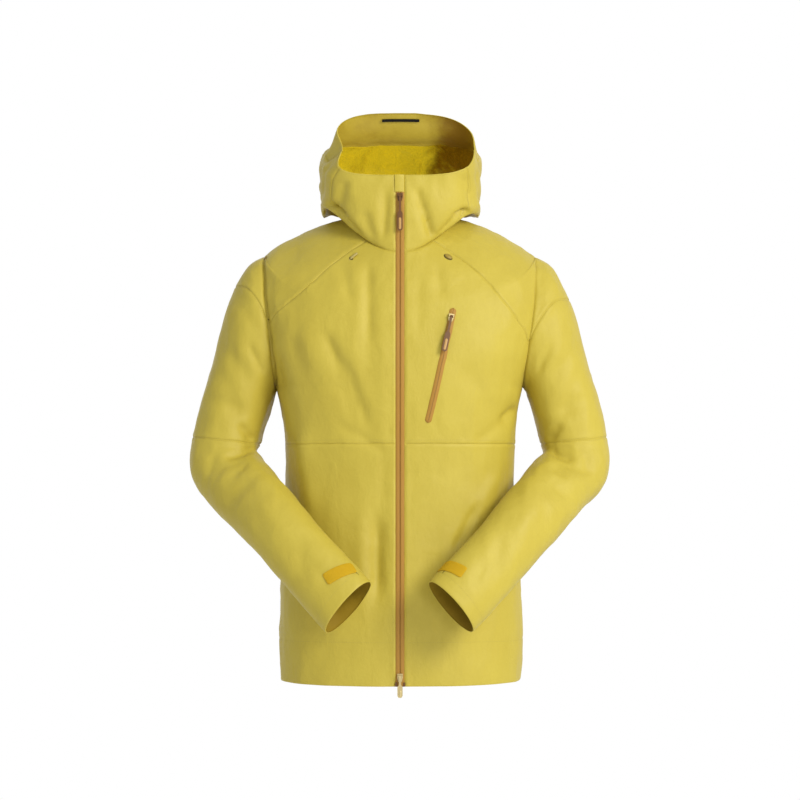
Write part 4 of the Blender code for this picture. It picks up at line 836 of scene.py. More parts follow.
# finer folds that only the cloth has
TORSO_CREASES = folds("front", [
    (-52, -80, -50, -205, 7.5, -3.7),
    (-121, -200, -92, -262, 9, -4.1),
    (-88, -245, -52, -345, 8.5, -3.7),
    (-205, -235, -186, -290, 8, -4.4),
    (-100, -345, -20, -392, 9, -2.7),
    (-182, -235, -150, -430, 26, 5.9),
    (-156, -360, -146, -480, 15, 5.1),
    (-36, -500, -37, -620, 9, -6.1),
    (-63, -480, -58, -640, 12, 2.7),
    (-26, -390, -30, -480, 9, -2),
    (191, -318, 169, -337, 5.5, -5.1),
    (170, -340, 120, -375, 9, -2.4),
    (124, -476, 90, -545, 6.5, -5.4),
    (165, -420, 100, -520, 13, 3.7),
    (100, -250, 150, -330, 14, -2),
    (60, -85, 66, -140, 8, -2.4),
    (-95, -85, -78, -150, 8, -2.7),
    (30, -100, 28, -200, 9, -2),
    (62, -640, 66, -730, 13, -2.4),
]) + folds("back", [
    (-150, -130, -110, -260, 10, -5.1),
    (150, -140, 112, -270, 10, -5.1),
    (-30, -50, -24, -220, 12, -3.1),
    (34, -60, 30, -200, 12, -3.1),
    (-160, -300, -80, -380, 11, -5.1),
    (160, -310, 75, -385, 11, -5.1),
    (-130, -420, -30, -455, 10, -4.4),
    (140, -430, 40, -470, 10, -4.4),
    (0, -420, 6, -680, 16, -4.4),
    (-140, -520, -120, -720, 15, -4.4),
    (136, -500, 124, -700, 15, -4.4),
])
SLEEVE_CREASES = folds("front", [
    (268, -130, 232, -196, 9, -2.7),
    (246, -215, 222, -262, 7, -3.7),
    (300, -250, 262, -330, 16, -3.4),
    (262, -345, 240, -372, 7, -5.1),
    (244, -388, 282, -400, 5.5, -5.4),
    (300, -392, 312, -425, 8, -3.7),
    (246, -408, 270, -430, 6, -3.1),
    (222, -470, 180, -525, 15, 2.7),
    (140, -560, 110, -600, 9, -2.4),
]) + folds("back", [
    (290, -170, 240, -230, 9, -4.4),
    (322, -330, 262, -352, 8, -5.8),
    (325, -392, 252, -410, 8, -5.8),
    (240, -460, 190, -500, 11, -4.1),
])
HOOD_CREASES = folds("front", [
    (-118, 16, -92, -10, 6.5, -15),
    (-92, -10, -66, -40, 6, -6),
    (112, 4, 90, -10, 6, -13),
    (90, -10, 66, -40, 6, -5),
    (26, 36, 40, -2, 6.5, -4.5),
    (40, -2, 56, -48, 5.5, -6.3),
    (-20, 26, -26, -40, 7.5, -3.9),
    (-60, 0, -44, -46, 9, -4.5),
    (-90, 50, -100, 6, 8, -4.5),
    (100, 60, 122, 12, 8, -3.9),
]) + folds("left", [
    (-55, 90, 50, 50, 8, -5.1),
    (-40, 30, 80, 0, 8, -5.1),
    (-60, 70, -20, 20, 7, -4.2),
]) + folds("right", [
    (-55, 95, 50, 60, 8, -5.1),
    (-40, 35, 80, 4, 8, -5.1),
    (-65, 80, -30, 30, 7, -4.2),
]) + folds("back", [
    (-90, 55, 30, 52, 8, -4.5),
    (-20, 20, 100, 12, 9, -5.1),
    (0, 110, 60, 100, 9, -3.9),
])
print("folds:", len(TORSO_FOLDS + TORSO_CREASES), "on the torso,",
      len(SLEEVE_FOLDS + SLEEVE_CREASES), "on a sleeve,", len(HOOD_FOLDS + HOOD_CREASES),
      "on the hood")

# %% [markdown]
# ## How deep a fold is at a point
# Along its line a fold keeps its depth over the middle half and dies out at both ends. Across it,
# the depth follows a bell curve. It only marks the side of the surface that faces the view in which
# it is given, so a fold of the chest leaves the back alone.

# %% Fold heights
VIEWS = {"front": (0, 1, -1.0), "back": (0, 1, 1.0), "left": (1, 0, 1.0), "right": (1, 0, -1.0)}


def fold_height(table, points, normals):
    """Each fold's depth, falling off softly across its line and towards its ends, on the side of
    the surface that faces the view in which the fold is given."""
    height = np.zeros(points.shape[:-1])
    for fold in table:
        across_axis, view_axis, sign = VIEWS[fold.seen]
        across = points[..., across_axis] - fold.across_0
        up = points[..., 2] - fold.up_0
        run_across = fold.across_1 - fold.across_0
        run_up = fold.up_1 - fold.up_0
        length = math.hypot(run_across, run_up)
        along = (across * run_across + up * run_up) / length
        aside = (across * run_up - up * run_across) / length
        past_end = np.maximum(np.abs(along - length / 2.0) - length / 4.0, 0.0)
        taper = bell(past_end, length / 4.0)
        seen = ease(sign * normals[..., view_axis] * 2.0)
        height += fold.depth * taper * seen * bell(aside, fold.half_width)
    return height


def surface_normals(surface, row, column, outside):
    """Unit normals from small steps along the surface; outside is 1 or -1."""
    step = 0.02
    along = surface(row + step, column) - surface(row - step, column)
    around = surface(row, column + step) - surface(row, column - step)
    return unit(np.cross(around, along) * outside)


def mirrored_folds(table, side):
    """The same folds on the other side of the body."""
    return [fold._replace(across_0=fold.across_0 * side, across_1=fold.across_1 * side)
            for fold in table]


print("the deepest fold:", min(fold.depth for fold in TORSO_FOLDS + HOOD_CREASES), "m")

# %% [markdown]
# ## Crumpling
# Random heights on the corners of a lattice, joined by soft steps, give soft waves. One minus their
# size gives sharp creases where they cross zero. Several sizes are added up. The lattice lies in
# space and not on the surface, so the waves run on over every seam.

# %% Lattice noise and crumpling
LATTICE = 32                # corners along each side of the lattice, after which it repeats


def lattice_noise(points, size, seed):
    """Random heights from -1 to 1 on a lattice of that size, joined by soft steps in x, y and z."""
    lattice = np.random.default_rng(seed).uniform(-1.0, 1.0, (LATTICE, LATTICE, LATTICE))
    scaled = points / size + 1000.0
    cell = np.floor(scaled).astype(int)
    share = ease(scaled - cell)
    total = np.zeros(points.shape[:-1])
    for corner in range(8):
        step = np.array([corner & 1, corner >> 1 & 1, corner >> 2 & 1])
        weight = np.prod(np.where(step == 1, share, 1.0 - share), axis=-1)
        x, y, z = np.moveaxis((cell + step) % LATTICE, -1, 0)
        total += weight * lattice[x, y, z]
    return total


DRAPE = np.array([1.0, 1.0, 0.30])      # hanging cloth creases more across than along


def crumple(points, amount, seed):
    """Broad soft drapes, smaller waves and fine sharp creases, which are folded noise."""
    broad = lattice_noise(points * DRAPE, 0.070, seed)
    waves = lattice_noise(points * (1.0, 1.0, 0.6), 0.028, seed + 1)
    sharp = 1.0 - 2.0 * np.abs(lattice_noise(points * (1.0, 1.0, 0.7), 0.045, seed + 2))
    fine = 1.0 - 2.0 * np.abs(lattice_noise(points * (1.0, 1.0, 0.6), 0.021, seed + 3))
    return amount * (0.0019 * broad + 0.0009 * waves + 0.0011 * sharp + 0.0005 * fine)


def crumpling(points):
    """How much the cloth is crumpled: most at the elbows, armpits, waist, sides and in the hood,
    and least on the chest."""
    x, y, z = np.moveaxis(points, -1, 0)
    side = ease((np.abs(x) - 0.13) / 0.07)
    back = ease(y / 0.05)
    waist = bell(z + 0.43, 0.12)
    elbow = ease((np.abs(x) - 0.20) / 0.04) * bell(z + 0.40, 0.06)
    hood = ease((z + 0.03) / 0.04)
    crown = ease((z - 0.02) / 0.03) * (0.4 + 1.2 * ease((y + 0.02) / 0.06))
    return 0.6 + 0.5 * side + back * (0.4 + 0.5 * waist) + 0.9 * elbow + 0.2 * hood + crown


print("crumpling on the chest and at an elbow:",
      crumpling(np.array([[0.0, -0.13, -0.25], [0.30, 0.0, -0.40]])).round(2))

# %% [markdown]
# ## Surfaces with folds
# Each tube of the jacket is now a pair of surfaces: the plain one of the frame, and the clothed one
# with its folds. Where two tubes are sewn together, both move along the mean of their normals, so
# that no gap opens at the seam.

# %% Clothed surfaces
CRUMPLE_SEED = 11
ZIP_CALM = (0.008, 0.02)    # the cloth is flat this near the middle, and folded this much beyond


def clothed(base, table, fade, outside):
    """A base surface moved along its normals by its folds and crumpling. The folds fade at the
    seams that the fade function names, and all of it fades at the straight edge of the zip."""
    def surface(row, column, normals=None):
        points = base(row, column)
        plain = surface_normals(base, row, column, outside)
        height = fold_height(table, points, plain) * fade(row, column)
        height = height + crumple(points, crumpling(points), CRUMPLE_SEED)
        calm, reach = ZIP_CALM
        at_zip = np.where(points[..., 1] < 0.0, ease((np.abs(points[..., 0]) - calm) / reach), 1.0)
        normals = plain if normals is None else normals
        return points + normals * (height * at_zip)[..., None]
    return surface


Tube = namedtuple("Tube", "name base surface outside")
TORSO = {half: Tube(half, torso_base(half),
                    clothed(torso_base(half), TORSO_FOLDS + TORSO_CREASES, torso_fade, 1.0), 1.0)
         for half in ("front", "back")}
HOOD_TUBE = Tube("hood", hood_base,
                 clothed(hood_base, HOOD_FOLDS + HOOD_CREASES, hood_fade, 1.0), 1.0)
SLEEVES = {side: Tube("sleeve", sleeve_base(side),
                      clothed(sleeve_base(side), mirrored_folds(SLEEVE_FOLDS + SLEEVE_CREASES,
                                                                side), sleeve_fade, side), side)
           for side, _word in SIDES}


def seam_normals(tube, rows, columns):
    """Normals of the tube without folds. Where two tubes are sewn together both take the mean
    normal, so that their edges move together."""
    normals = surface_normals(tube.base, rows, columns, tube.outside)
    matches = []
    if tube.name == "sleeve":
        step = np.mod(columns, SLEEVE_COLUMNS)
        front = step <= ARMHOLE_STEPS
        for half, here in (("front", front), ("back", ~front)):
            down = step if half == "front" else SLEEVE_COLUMNS - step
            matches.append((TORSO[half], here & np.isclose(rows, 0.0), SHOULDER_ROW - down,
                            np.full_like(rows, COLUMNS * tube.outside)))
    elif tube.name == "hood":
        front = np.abs(wrapped(columns)) <= COLUMNS
        for half, here in (("front", front), ("back", ~front)):
            matches.append((TORSO[half], here & np.isclose(rows, 0.0),
                            np.full_like(rows, NECK_ROW), columns))
    else:
        edge = np.isclose(np.abs(wrapped(columns)), COLUMNS)
        down = SHOULDER_ROW - rows
        step = down if tube.name == "front" else SLEEVE_COLUMNS - down
        matches.append((HOOD_TUBE, np.isclose(rows, NECK_ROW), np.zeros_like(rows), columns))
        for side, _word in SIDES:
            here = (edge & (rows > ARMPIT_ROW) & (rows < SHOULDER_ROW)
                    & (np.sign(wrapped(columns)) == side))
            matches.append((SLEEVES[side], here, np.zeros_like(rows), step))
    for partner, here, its_rows, its_columns in matches:
        if here.any():
            normals[here] = unit(normals[here] + surface_normals(
                partner.base, its_rows[here], its_columns[here], partner.outside))
    return normals


print("tubes:", [tube.name for tube in (*TORSO.values(), HOOD_TUBE, *SLEEVES.values())])

# %% [markdown]
# ## From a patch of surface to a piece of cloth
# A cut piece is one or more patches of rows and columns. Grid lines lie evenly along the cloth and
# crowd together at a seam, where the cloth turns down into a groove beside the folded seam
# allowance. The patches are welded, given an inner skin a cloth's thickness behind, and closed with
# a rim. Working on whole arrays keeps this quick.

# %% Grids that crowd at the seams
SPACING = 0.0045
ZIP_HALF = 0.0069           # half the main zip's width
SEAM_GAP = 0.0003           # between two pieces that are sewn together
CLOTH = 0.0012              # thickness of the laminate as it is seen at an edge
SEAM_MARKS = np.array([0.0, 0.0008, 0.0019, 0.0034, 0.0055, 0.0085])
CROWD_FROM = 0.03           # a shorter run than this stays even
TRIALS = 240
MESH_STEP = SPACING


def graded(length, crowd_first, crowd_last):
    """Distances from 0 to length: even, but close together at a crowded end."""
    low = SEAM_MARKS if crowd_first and length > CROWD_FROM else SEAM_MARKS[:1]
    high = length - (SEAM_MARKS[::-1] if crowd_last and length > CROWD_FROM else SEAM_MARKS[:1])
    count = max(2, int(round((high[0] - low[-1]) / MESH_STEP)) + 1)
    return np.concatenate([low[:-1], np.linspace(low[-1], high[0], count), high[1:]])


def even(path, first, last, crowd_first=True, crowd_last=True):
    """Numbers from first to last whose points on a path lie at graded distances: the path's length
    is added up over many small steps and read backwards."""
    trial = np.linspace(first, last, TRIALS)
    length = lengths(path(trial))
    return np.interp(graded(length[-1], crowd_first, crowd_last), length, trial)


def columns_between(tube, row, first, last, crowd_first=True, crowd_last=True):
    """Columns at graded distances along one row."""
    return even(lambda c: tube.base(np.full_like(c, row), c), first, last, crowd_first, crowd_last)


def shares_between(tube, column, low, high, crowd_low=True, crowd_high=True):
    """Shares from 0 to 1 of the way from one row to another, at graded distances."""
    rows = even(lambda r: tube.base(r, np.full_like(r, column)), low, high, crowd_low, crowd_high)
    return (rows - low) / (high - low)


def patch(columns, low, high, shares):
    """Rows and columns of a patch. Its lower and upper edges are rows, or functions of the
    column."""
    columns = np.asarray(columns, float)
    start = low(columns) if callable(low) else np.full_like(columns, float(low))
    end = high(columns) if callable(high) else np.full_like(columns, float(high))
    rows = start + (end - start) * np.asarray(shares)[:, None]
    return rows, np.broadcast_to(columns, rows.shape).copy()


print("grid lines on a 0.1 m run:", graded(0.1, True, True).round(4))

# %% [markdown]
# ## Meshes
# Blender takes a whole mesh as two arrays, one of points and one of faces. The border of a skin is
# made of the edges that only one of its faces uses. A closed shell is a skin, the same skin turned
# round behind it, and a rim along that border.

# %% Meshes from arrays
def add_object(name, points, faces, finishes, finish_index=None, uv=None, sharp=50.0):
    """A mesh object from arrays of points and faces, smooth but for its sharp edges."""
    mesh = bpy.data.meshes.new(name)
    mesh.from_pydata(np.asarray(points).tolist(), [], np.asarray(faces).tolist())
    for finish in finishes:
        mesh.materials.append(finish)
    if finish_index is not None:
        mesh.polygons.foreach_set("material_index", finish_index)
    if uv is not None:
        layer = mesh.uv_layers.new(name="cloth")
        corners = np.empty(len(mesh.loops), int)
        mesh.loops.foreach_get("vertex_index", corners)
        layer.data.foreach_set("uv", uv[corners].astype(np.float32).ravel())
    mesh.shade_smooth()
    mesh.set_sharp_from_angle(angle=math.radians(sharp))
    made = bpy.data.objects.new(name, mesh)
    bpy.context.scene.collection.objects.link(made)
    return made


def face_normals(points, faces):
    """Normals of quads, as long as twice their area: the cross product of their diagonals."""
    return np.cross(points[faces[:, 2]] - points[faces[:, 0]],
                    points[faces[:, 3]] - points[faces[:, 1]])


def point_normals(points, faces):
    """Unit normals of points: the sum of the normals of the faces round each."""
    normals = np.zeros_like(points)
    of_faces = face_normals(points, faces)
    for corner in range(4):
        np.add.at(normals, faces[:, corner], of_faces)
    return unit(normals)


def grid_quads(index):
    """Quads between the points of a grid, whose numbers are given."""
    corners = (index[:-1, :-1], index[:-1, 1:], index[1:, 1:], index[1:, :-1])
    return np.stack(corners, axis=-1).reshape(-1, 4)


def facing(points, quads, away):
    """Quads, turned round if their normals don't point away."""
    turned = np.sum(face_normals(points, quads) * away[quads[:, 0]]) < 0
    return quads[:, ::-1] if turned else quads


def border(faces):
    """Edges that only one quad uses, in that quad's direction."""
    edges = np.concatenate([faces[:, [i, (i + 1) % 4]] for i in range(4)])
    key = np.sort(edges, axis=1)
    _found, index, count = np.unique(key, axis=0, return_index=True, return_counts=True)
    return edges[index[count == 1]]


def shell_faces(quads, count):
    """Outer quads, inner quads and rim of a closed shell. The inner points follow after the count
    outer ones."""
    edge = border(quads)
    rim = np.stack([edge[:, 1], edge[:, 0], edge[:, 0] + count, edge[:, 1] + count], axis=1)
    return quads, quads[:, ::-1] + count, rim


print("a shell on a grid of 3 x 3 points:", [len(part) for part in shell_faces(
    grid_quads(np.arange(9).reshape(3, 3)), 9)], "faces")

# %% [markdown]
# ## Seams and hems
# At a seam both cloths turn down, and the allowance behind them lifts the cloth a little on both
# sides. The thread gathers the cloth, so it puckers along the line. A hem is folded over, so it is
# thicker and its edge is round. All three are heights that depend on the distance to the edge.

# %% Seam and hem relief
Relief = namedtuple("Relief", "height reach")
SEAM_GROOVE = Relief(-0.0009, 0.0014)
SEAM_RIDGE = Relief(0.0004, 0.0030)
RIDGE_AT = 0.0048           # the allowance's ridge lies this far from the seam
SEAM_PUCKER = Relief(0.0006, 0.010)
HEM_EDGE = Relief(-0.0007, 0.0010)
HEM_WAVE = Relief(0.0012, 0.020)
ARMHOLE_GROOVE = Relief(-0.0042, 0.0045)
HEM_LINE = Relief(-0.0007, 0.0018)
HEM_LINE_Z = -0.695         # where the turned-up hem is stitched down
BATCH = 4000                # points that are measured at a time


def relief(shape, distance, texture=1.0):
    """Height times texture, falling off as a bell curve within its reach."""
    return shape.height * texture * bell(distance, shape.reach)


def seam_height(distance, points):
    """A groove at the seam, a low ridge over the allowance, and puckers that die out."""
    pucker = relief(SEAM_PUCKER, distance, lattice_noise(points, 0.011, 71))
    return relief(SEAM_GROOVE, distance) + relief(SEAM_RIDGE, distance - RIDGE_AT) + pucker


def hem_height(distance, points):
    """A rounded edge and a slow wave."""
    wave = relief(HEM_WAVE, distance, lattice_noise(points, 0.045, 73))
    return relief(HEM_EDGE, distance) + wave


def nearest(points, targets):
    """Distance from each point to the nearest target."""
    result = np.full(len(points), np.inf)
    if len(targets):
        for start in range(0, len(points), BATCH):
            part = points[start:start + BATCH, None, :] - targets[None, :, :]
            result[start:start + BATCH] = np.sqrt(np.min(np.sum(part * part, axis=-1), axis=1))
    return result


print("seam grooves:", SEAM_GROOVE.height, "m; hems:", HEM_EDGE.height, "m")

# %% [markdown]
# ## One cut piece
# The patches are welded where they share an edge, and the piece is measured as if laid flat: the
# longest run up the columns by the widest along the rows, as a cutter would measure it.

# %% Edges, welds and measures
ARMHOLE_CREASE = torso_base("front")(np.linspace(ARMPIT_ROW + 0.5, SHOULDER_ROW - 0.5, 60),
                                     np.full(60, -float(COLUMNS)))
ZIP_COLUMNS = 4.0           # columns over which a front gives way to the zip
SEAM_NORMALS = 0.004        # this near a seam, points move along the seam's normals
MARKS = 60                  # places at which a piece is measured each way


def straight_at_zip(tube, rows, columns):
    """Columns of a front moved sideways near the middle, so that its edge lies half a zip's width
    away. The edge's column is scaled by the width that is wanted over the width found, three
    times for every row."""
    edge = np.full_like(rows, 0.3)
    for _ in range(3):
        edge = edge * (ZIP_HALF + SEAM_GAP / 2.0) / np.abs(tube.base(rows, edge)[..., 0])
    size = np.abs(columns)
    side = np.sign(columns.sum())
    return side * (size + edge * np.maximum(0.0, 1.0 - size / ZIP_COLUMNS))


def weld(patches, closed):
    """Rows and columns of the patches' points, each point once, and the quads between them. On a
    closed tube the last column is the first."""
    keys = np.concatenate([np.stack([rows.ravel(), columns.ravel()], axis=1)
                           for rows, columns in patches])
    if closed:
        half_way = SLEEVE_COLUMNS / 2.0
        keys[:, 1] = np.mod(keys[:, 1] + half_way, SLEEVE_COLUMNS) - half_way
    places, index = np.unique(np.round(keys, 5), axis=0, return_inverse=True)
    index = index.reshape(-1)
    quads = []
    start = 0
    for rows, _columns in patches:
        quads.append(grid_quads(index[start:start + rows.size].reshape(rows.shape)))
        start += rows.size
    return *places.T, np.concatenate(quads)


def flat_size(tube, rows, columns):
    """The longest run of a piece up its columns, the widest along its rows, and a UV map in metres
    measured on the same runs."""
    row_marks = np.linspace(rows.min(), rows.max(), MARKS)
    column_marks = np.linspace(columns.min(), columns.max(), MARKS)
    grid = tube.base(*np.meshgrid(row_marks, column_marks, indexing="ij"))
    up = np.linalg.norm(np.diff(grid, axis=0), axis=-1)
    along = np.linalg.norm(np.diff(grid, axis=1), axis=-1)
    up = np.concatenate([np.zeros((1, MARKS)), np.cumsum(up, axis=0)])
    along = np.concatenate([np.zeros((MARKS, 1)), np.cumsum(along, axis=1)], axis=1)
    uv = np.stack([np.interp(columns, column_marks, along[MARKS // 2]),
                   np.interp(rows, row_marks, up[:, MARKS // 2])], axis=1)
    return float(up[-1].max()), float(along[:, -1].max()), uv


print("each piece is measured at", MARKS, "x", MARKS, "places")

# %% [markdown]
# ## Closing it and keeping its flat size
# Near a seam the cloth is moved along the surface's own normals, which both pieces of the seam
# share, so their edges stay together. The sheet's flat size is kept in a table, because a cutter
# needs that size and not the size that the worn piece has in space.

# %% A piece of cloth
FLAT_SIZES = {}
OUTER_SKINS = []


def dress(made, node):
    """Attaches a piece to the garment and hides the frame's part that it stands for."""
    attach(made, GARMENT)
    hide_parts(node)


def cloth_piece(node, tube, patches, free_row=None, closed=False, zip_edge=False,
                inner=LINING):
    rows, columns, quads = weld(patches, closed)
    if zip_edge:
        columns = straight_at_zip(tube, rows, columns)
    outward = seam_normals(tube, rows, columns)
    points = tube.surface(rows, columns, outward)
    quads = facing(points, quads, outward)
    ends = np.unique(border(quads))
    free = np.isclose(rows[ends], free_row) if free_row is not None else np.zeros(len(ends), bool)
    seam = nearest(points, points[ends[~free]])
    hem = nearest(points, points[ends[free]])
    near = bell(seam, SEAM_NORMALS)[:, None]
    normals = unit(point_normals(points, quads) * (1.0 - near) + outward * near)
    height = seam_height(seam, points) + hem_height(hem, points)
    height += relief(ARMHOLE_GROOVE, nearest(points, ARMHOLE_CREASE))
    height += relief(HEM_LINE, points[:, 2] - HEM_LINE_Z)
    points = points + normals * height[:, None]
    area = 0.5 * np.sum(np.linalg.norm(face_normals(points, quads), axis=1))
    OUTER_SKINS.append((points, quads))
    parts = shell_faces(quads, len(points))
    finish_index = np.repeat([0, 1, 0], [len(part) for part in parts])
    length, width, uv = flat_size(tube, rows, columns)
    made = add_object(f"{node}_cloth", np.concatenate([points, points - normals * CLOTH]),
                      np.concatenate(parts), [SHELL, inner], finish_index,
                      np.concatenate([uv, uv]))
    dress(made, node)
    FLAT_SIZES[node] = (round(width, 3), round(length, 3), round(float(area), 4))


print("cloth:", CLOTH * 1000.0, "mm thick, in steps of", MESH_STEP * 1000.0, "mm")

# %% [markdown]
# ## The body's cloth
# Two lower fronts, two upper fronts, two shoulder yokes and one back, as they would be cut. The
# yoke seam drops from the neck, turns at a corner and runs straight to the armhole, so its row is
# found for every column. The fronts end in a straight line at the zip: their columns are moved
# sideways near the middle until the edge lies half a zip's width away.

# %% The yoke seam
# the yoke seam runs down one column from the neck, then straight, as seen from the front, to the
# armhole; its corners are given as x and z
YOKE_COLUMN = 4
YOKE_CORNER = (0.1415, -0.1150)
YOKE_END = {1: (0.2160, -0.2060), -1: (0.2160, -0.1760)}


def yoke_row(columns):
    """The rows at which columns of the front cross the yoke seam: a straight line in x and z from
    the corner to the end, found by halving. It ends where the sleeve's cap seam begins."""
    columns = np.asarray(columns, float)
    side = -1 if columns.sum() < 0 else 1
    end = YOKE_END[side]
    rise = (end[1] - YOKE_CORNER[1]) / (end[0] - YOKE_CORNER[0])
    columns = np.abs(columns)
    low = np.full_like(columns, ARMPIT_ROW)
    high = np.full_like(columns, NECK_ROW)
    for _ in range(30):
        middle = (low + high) / 2.0
        points = torso_base("front")(middle, columns)
        below = points[..., 2] < YOKE_CORNER[1] + rise * (points[..., 0] - YOKE_CORNER[0])
        low = np.where(below, middle, low)
        high = np.where(below, high, middle)
    at_end = SHOULDER_ROW - CAP_SEAM_COLUMN[side]
    return middle + (at_end - middle) * ease(columns - COLUMNS + 1.0)


print("yoke seam rows:", yoke_row(np.array([4.0, 6.0, 8.0, 9.0])).round(2))

# %% [markdown]
# ## Cutting the body
# Every piece says which columns and rows it takes, and where its grid crowds. The two fronts of a
# side share their columns at the waist seam, so their edges meet.

# %% Fronts, yokes and back
def build_body_cloth():
    """All cut pieces of the body."""
    front = TORSO["front"]
    hem_shares = shares_between(front, 4.0, 0.0, SEAM_ROW)
    inner = columns_between(front, SEAM_ROW + 4.0, 0.0, YOKE_COLUMN)
    outer = columns_between(front, SEAM_ROW + 1.0, YOKE_COLUMN, COLUMNS, crowd_first=False)
    whole = columns_between(front, SEAM_ROW - 2.0, 0.0, COLUMNS)
    shoulder = columns_between(front, SHOULDER_ROW - 1.0, YOKE_COLUMN, COLUMNS)
    for side, word in SIDES:
        corner, outside = yoke_row(side * np.array([YOKE_COLUMN, 6.5]))
        low_shares = shares_between(front, 2.0, SEAM_ROW, corner)
        neck_shares = shares_between(front, 2.0, corner, NECK_ROW, crowd_low=False)
        yoke_shares = shares_between(front, 6.5, outside, NECK_ROW)
        cloth_piece(f"front_lower_{word}", front,
                    [patch(side * whole, 0.0, SEAM_ROW, hem_shares)], free_row=0.0, zip_edge=True)
        cloth_piece(f"front_upper_{word}", front,
                    [patch(side * inner, SEAM_ROW, corner, low_shares),
                     patch(side * inner, corner, NECK_ROW, neck_shares),
                     patch(side * outer, SEAM_ROW, yoke_row, low_shares)], zip_edge=True)
        cloth_piece(f"yoke_{word}", front,
                    [patch(side * shoulder, yoke_row, NECK_ROW, yoke_shares)])
    back = TORSO["back"]
    middle = 2.0 * COLUMNS
    columns = columns_between(back, SEAM_ROW, COLUMNS, 3.0 * COLUMNS)
    bounds = ((0.0, ARMPIT_ROW, True, False), (ARMPIT_ROW, SHOULDER_ROW, False, False),
              (SHOULDER_ROW, NECK_ROW, False, True))
    cloth_piece("back", back, [
        patch(columns, low, high, shares_between(back, middle, low, high, crowd_low, crowd_high))
        for low, high, crowd_low, crowd_high in bounds], free_row=0.0)


build_body_cloth()
print("body cloth:", FLAT_SIZES)

# %% [markdown]
# ## The sleeves' cloth
# A sleeve has a cap, an upper part and a lower part, because a slanted seam runs over the shoulder
# and another one goes round the elbow. The cap is a crescent; the two others are closed tubes.

# %% Sleeve caps, upper and lower sleeves
CAP_TIP = 0.1               # the crescent's tips stop this many columns short


def cap_row(side):
    """The row at which each column of a sleeve meets its slanted cap seam."""
    def row(columns):
        turn = 0.5 * math.pi * np.minimum(np.abs(columns) / CAP_SEAM_COLUMN[side], 1.0)
        return CAP_SEAM_ROW[side] * np.maximum(np.cos(turn), 0.0) ** 0.9
    return row


def build_sleeve_cloth():
    """The six cut pieces of the two sleeves."""
    for side, word in SIDES:
        tube = SLEEVES[side]
        tip = CAP_SEAM_COLUMN[side]
        seam_row = cap_row(side)
        half_way = SLEEVE_COLUMNS / 2.0
        over = columns_between(tube, 1.0, CAP_TIP - tip, tip - CAP_TIP)
        cloth_piece(f"sleeve_cap_{word}", tube,
                    [patch(over, 0.0, seam_row, shares_between(tube, 0.0, 0.0, CAP_SEAM_ROW[side]))])
        top = columns_between(tube, 3.0, -tip, tip, False, False)
        under = columns_between(tube, 3.0, tip, half_way, False, False)
        round_upper = np.concatenate([-under[::-1], top[1:-1], under])
        cloth_piece(f"upper_sleeve_{word}", tube,
                    [patch(round_upper, seam_row, ELBOW_SEAM_ROW,
                           shares_between(tube, 5.0, 0.0, ELBOW_SEAM_ROW))],
                    closed=True)
        round_lower = columns_between(tube, 7.0, -half_way, half_way, False, False)
        cloth_piece(f"lower_sleeve_{word}", tube,
                    [patch(round_lower, ELBOW_SEAM_ROW, CUFF_ROW,
                           shares_between(tube, 0.0, ELBOW_SEAM_ROW, CUFF_ROW))],
                    closed=True, free_row=CUFF_ROW)


build_sleeve_cloth()
print("cuff hems at row", CUFF_ROW, "of the sleeves")

# %% [markdown]
# ## The hood's cloth
# Collar fronts, sides, a centre strip over the head and a stiff brim band. They are sewn to the
# neck seam and roll out over it. The face opening is the free edge, turned in and stitched.

# %% Collar, hood sides, centre strip and brim
def brim_low(columns):
    """The brim seam: level over the head, and slanting up to the opening at both ends."""
    size = np.abs(wrapped(columns))
    return OPENING_ROW - np.clip(size - BRIM_COLUMN, 0.0, 1.0) * (OPENING_ROW - BRIM_SEAM_ROW)


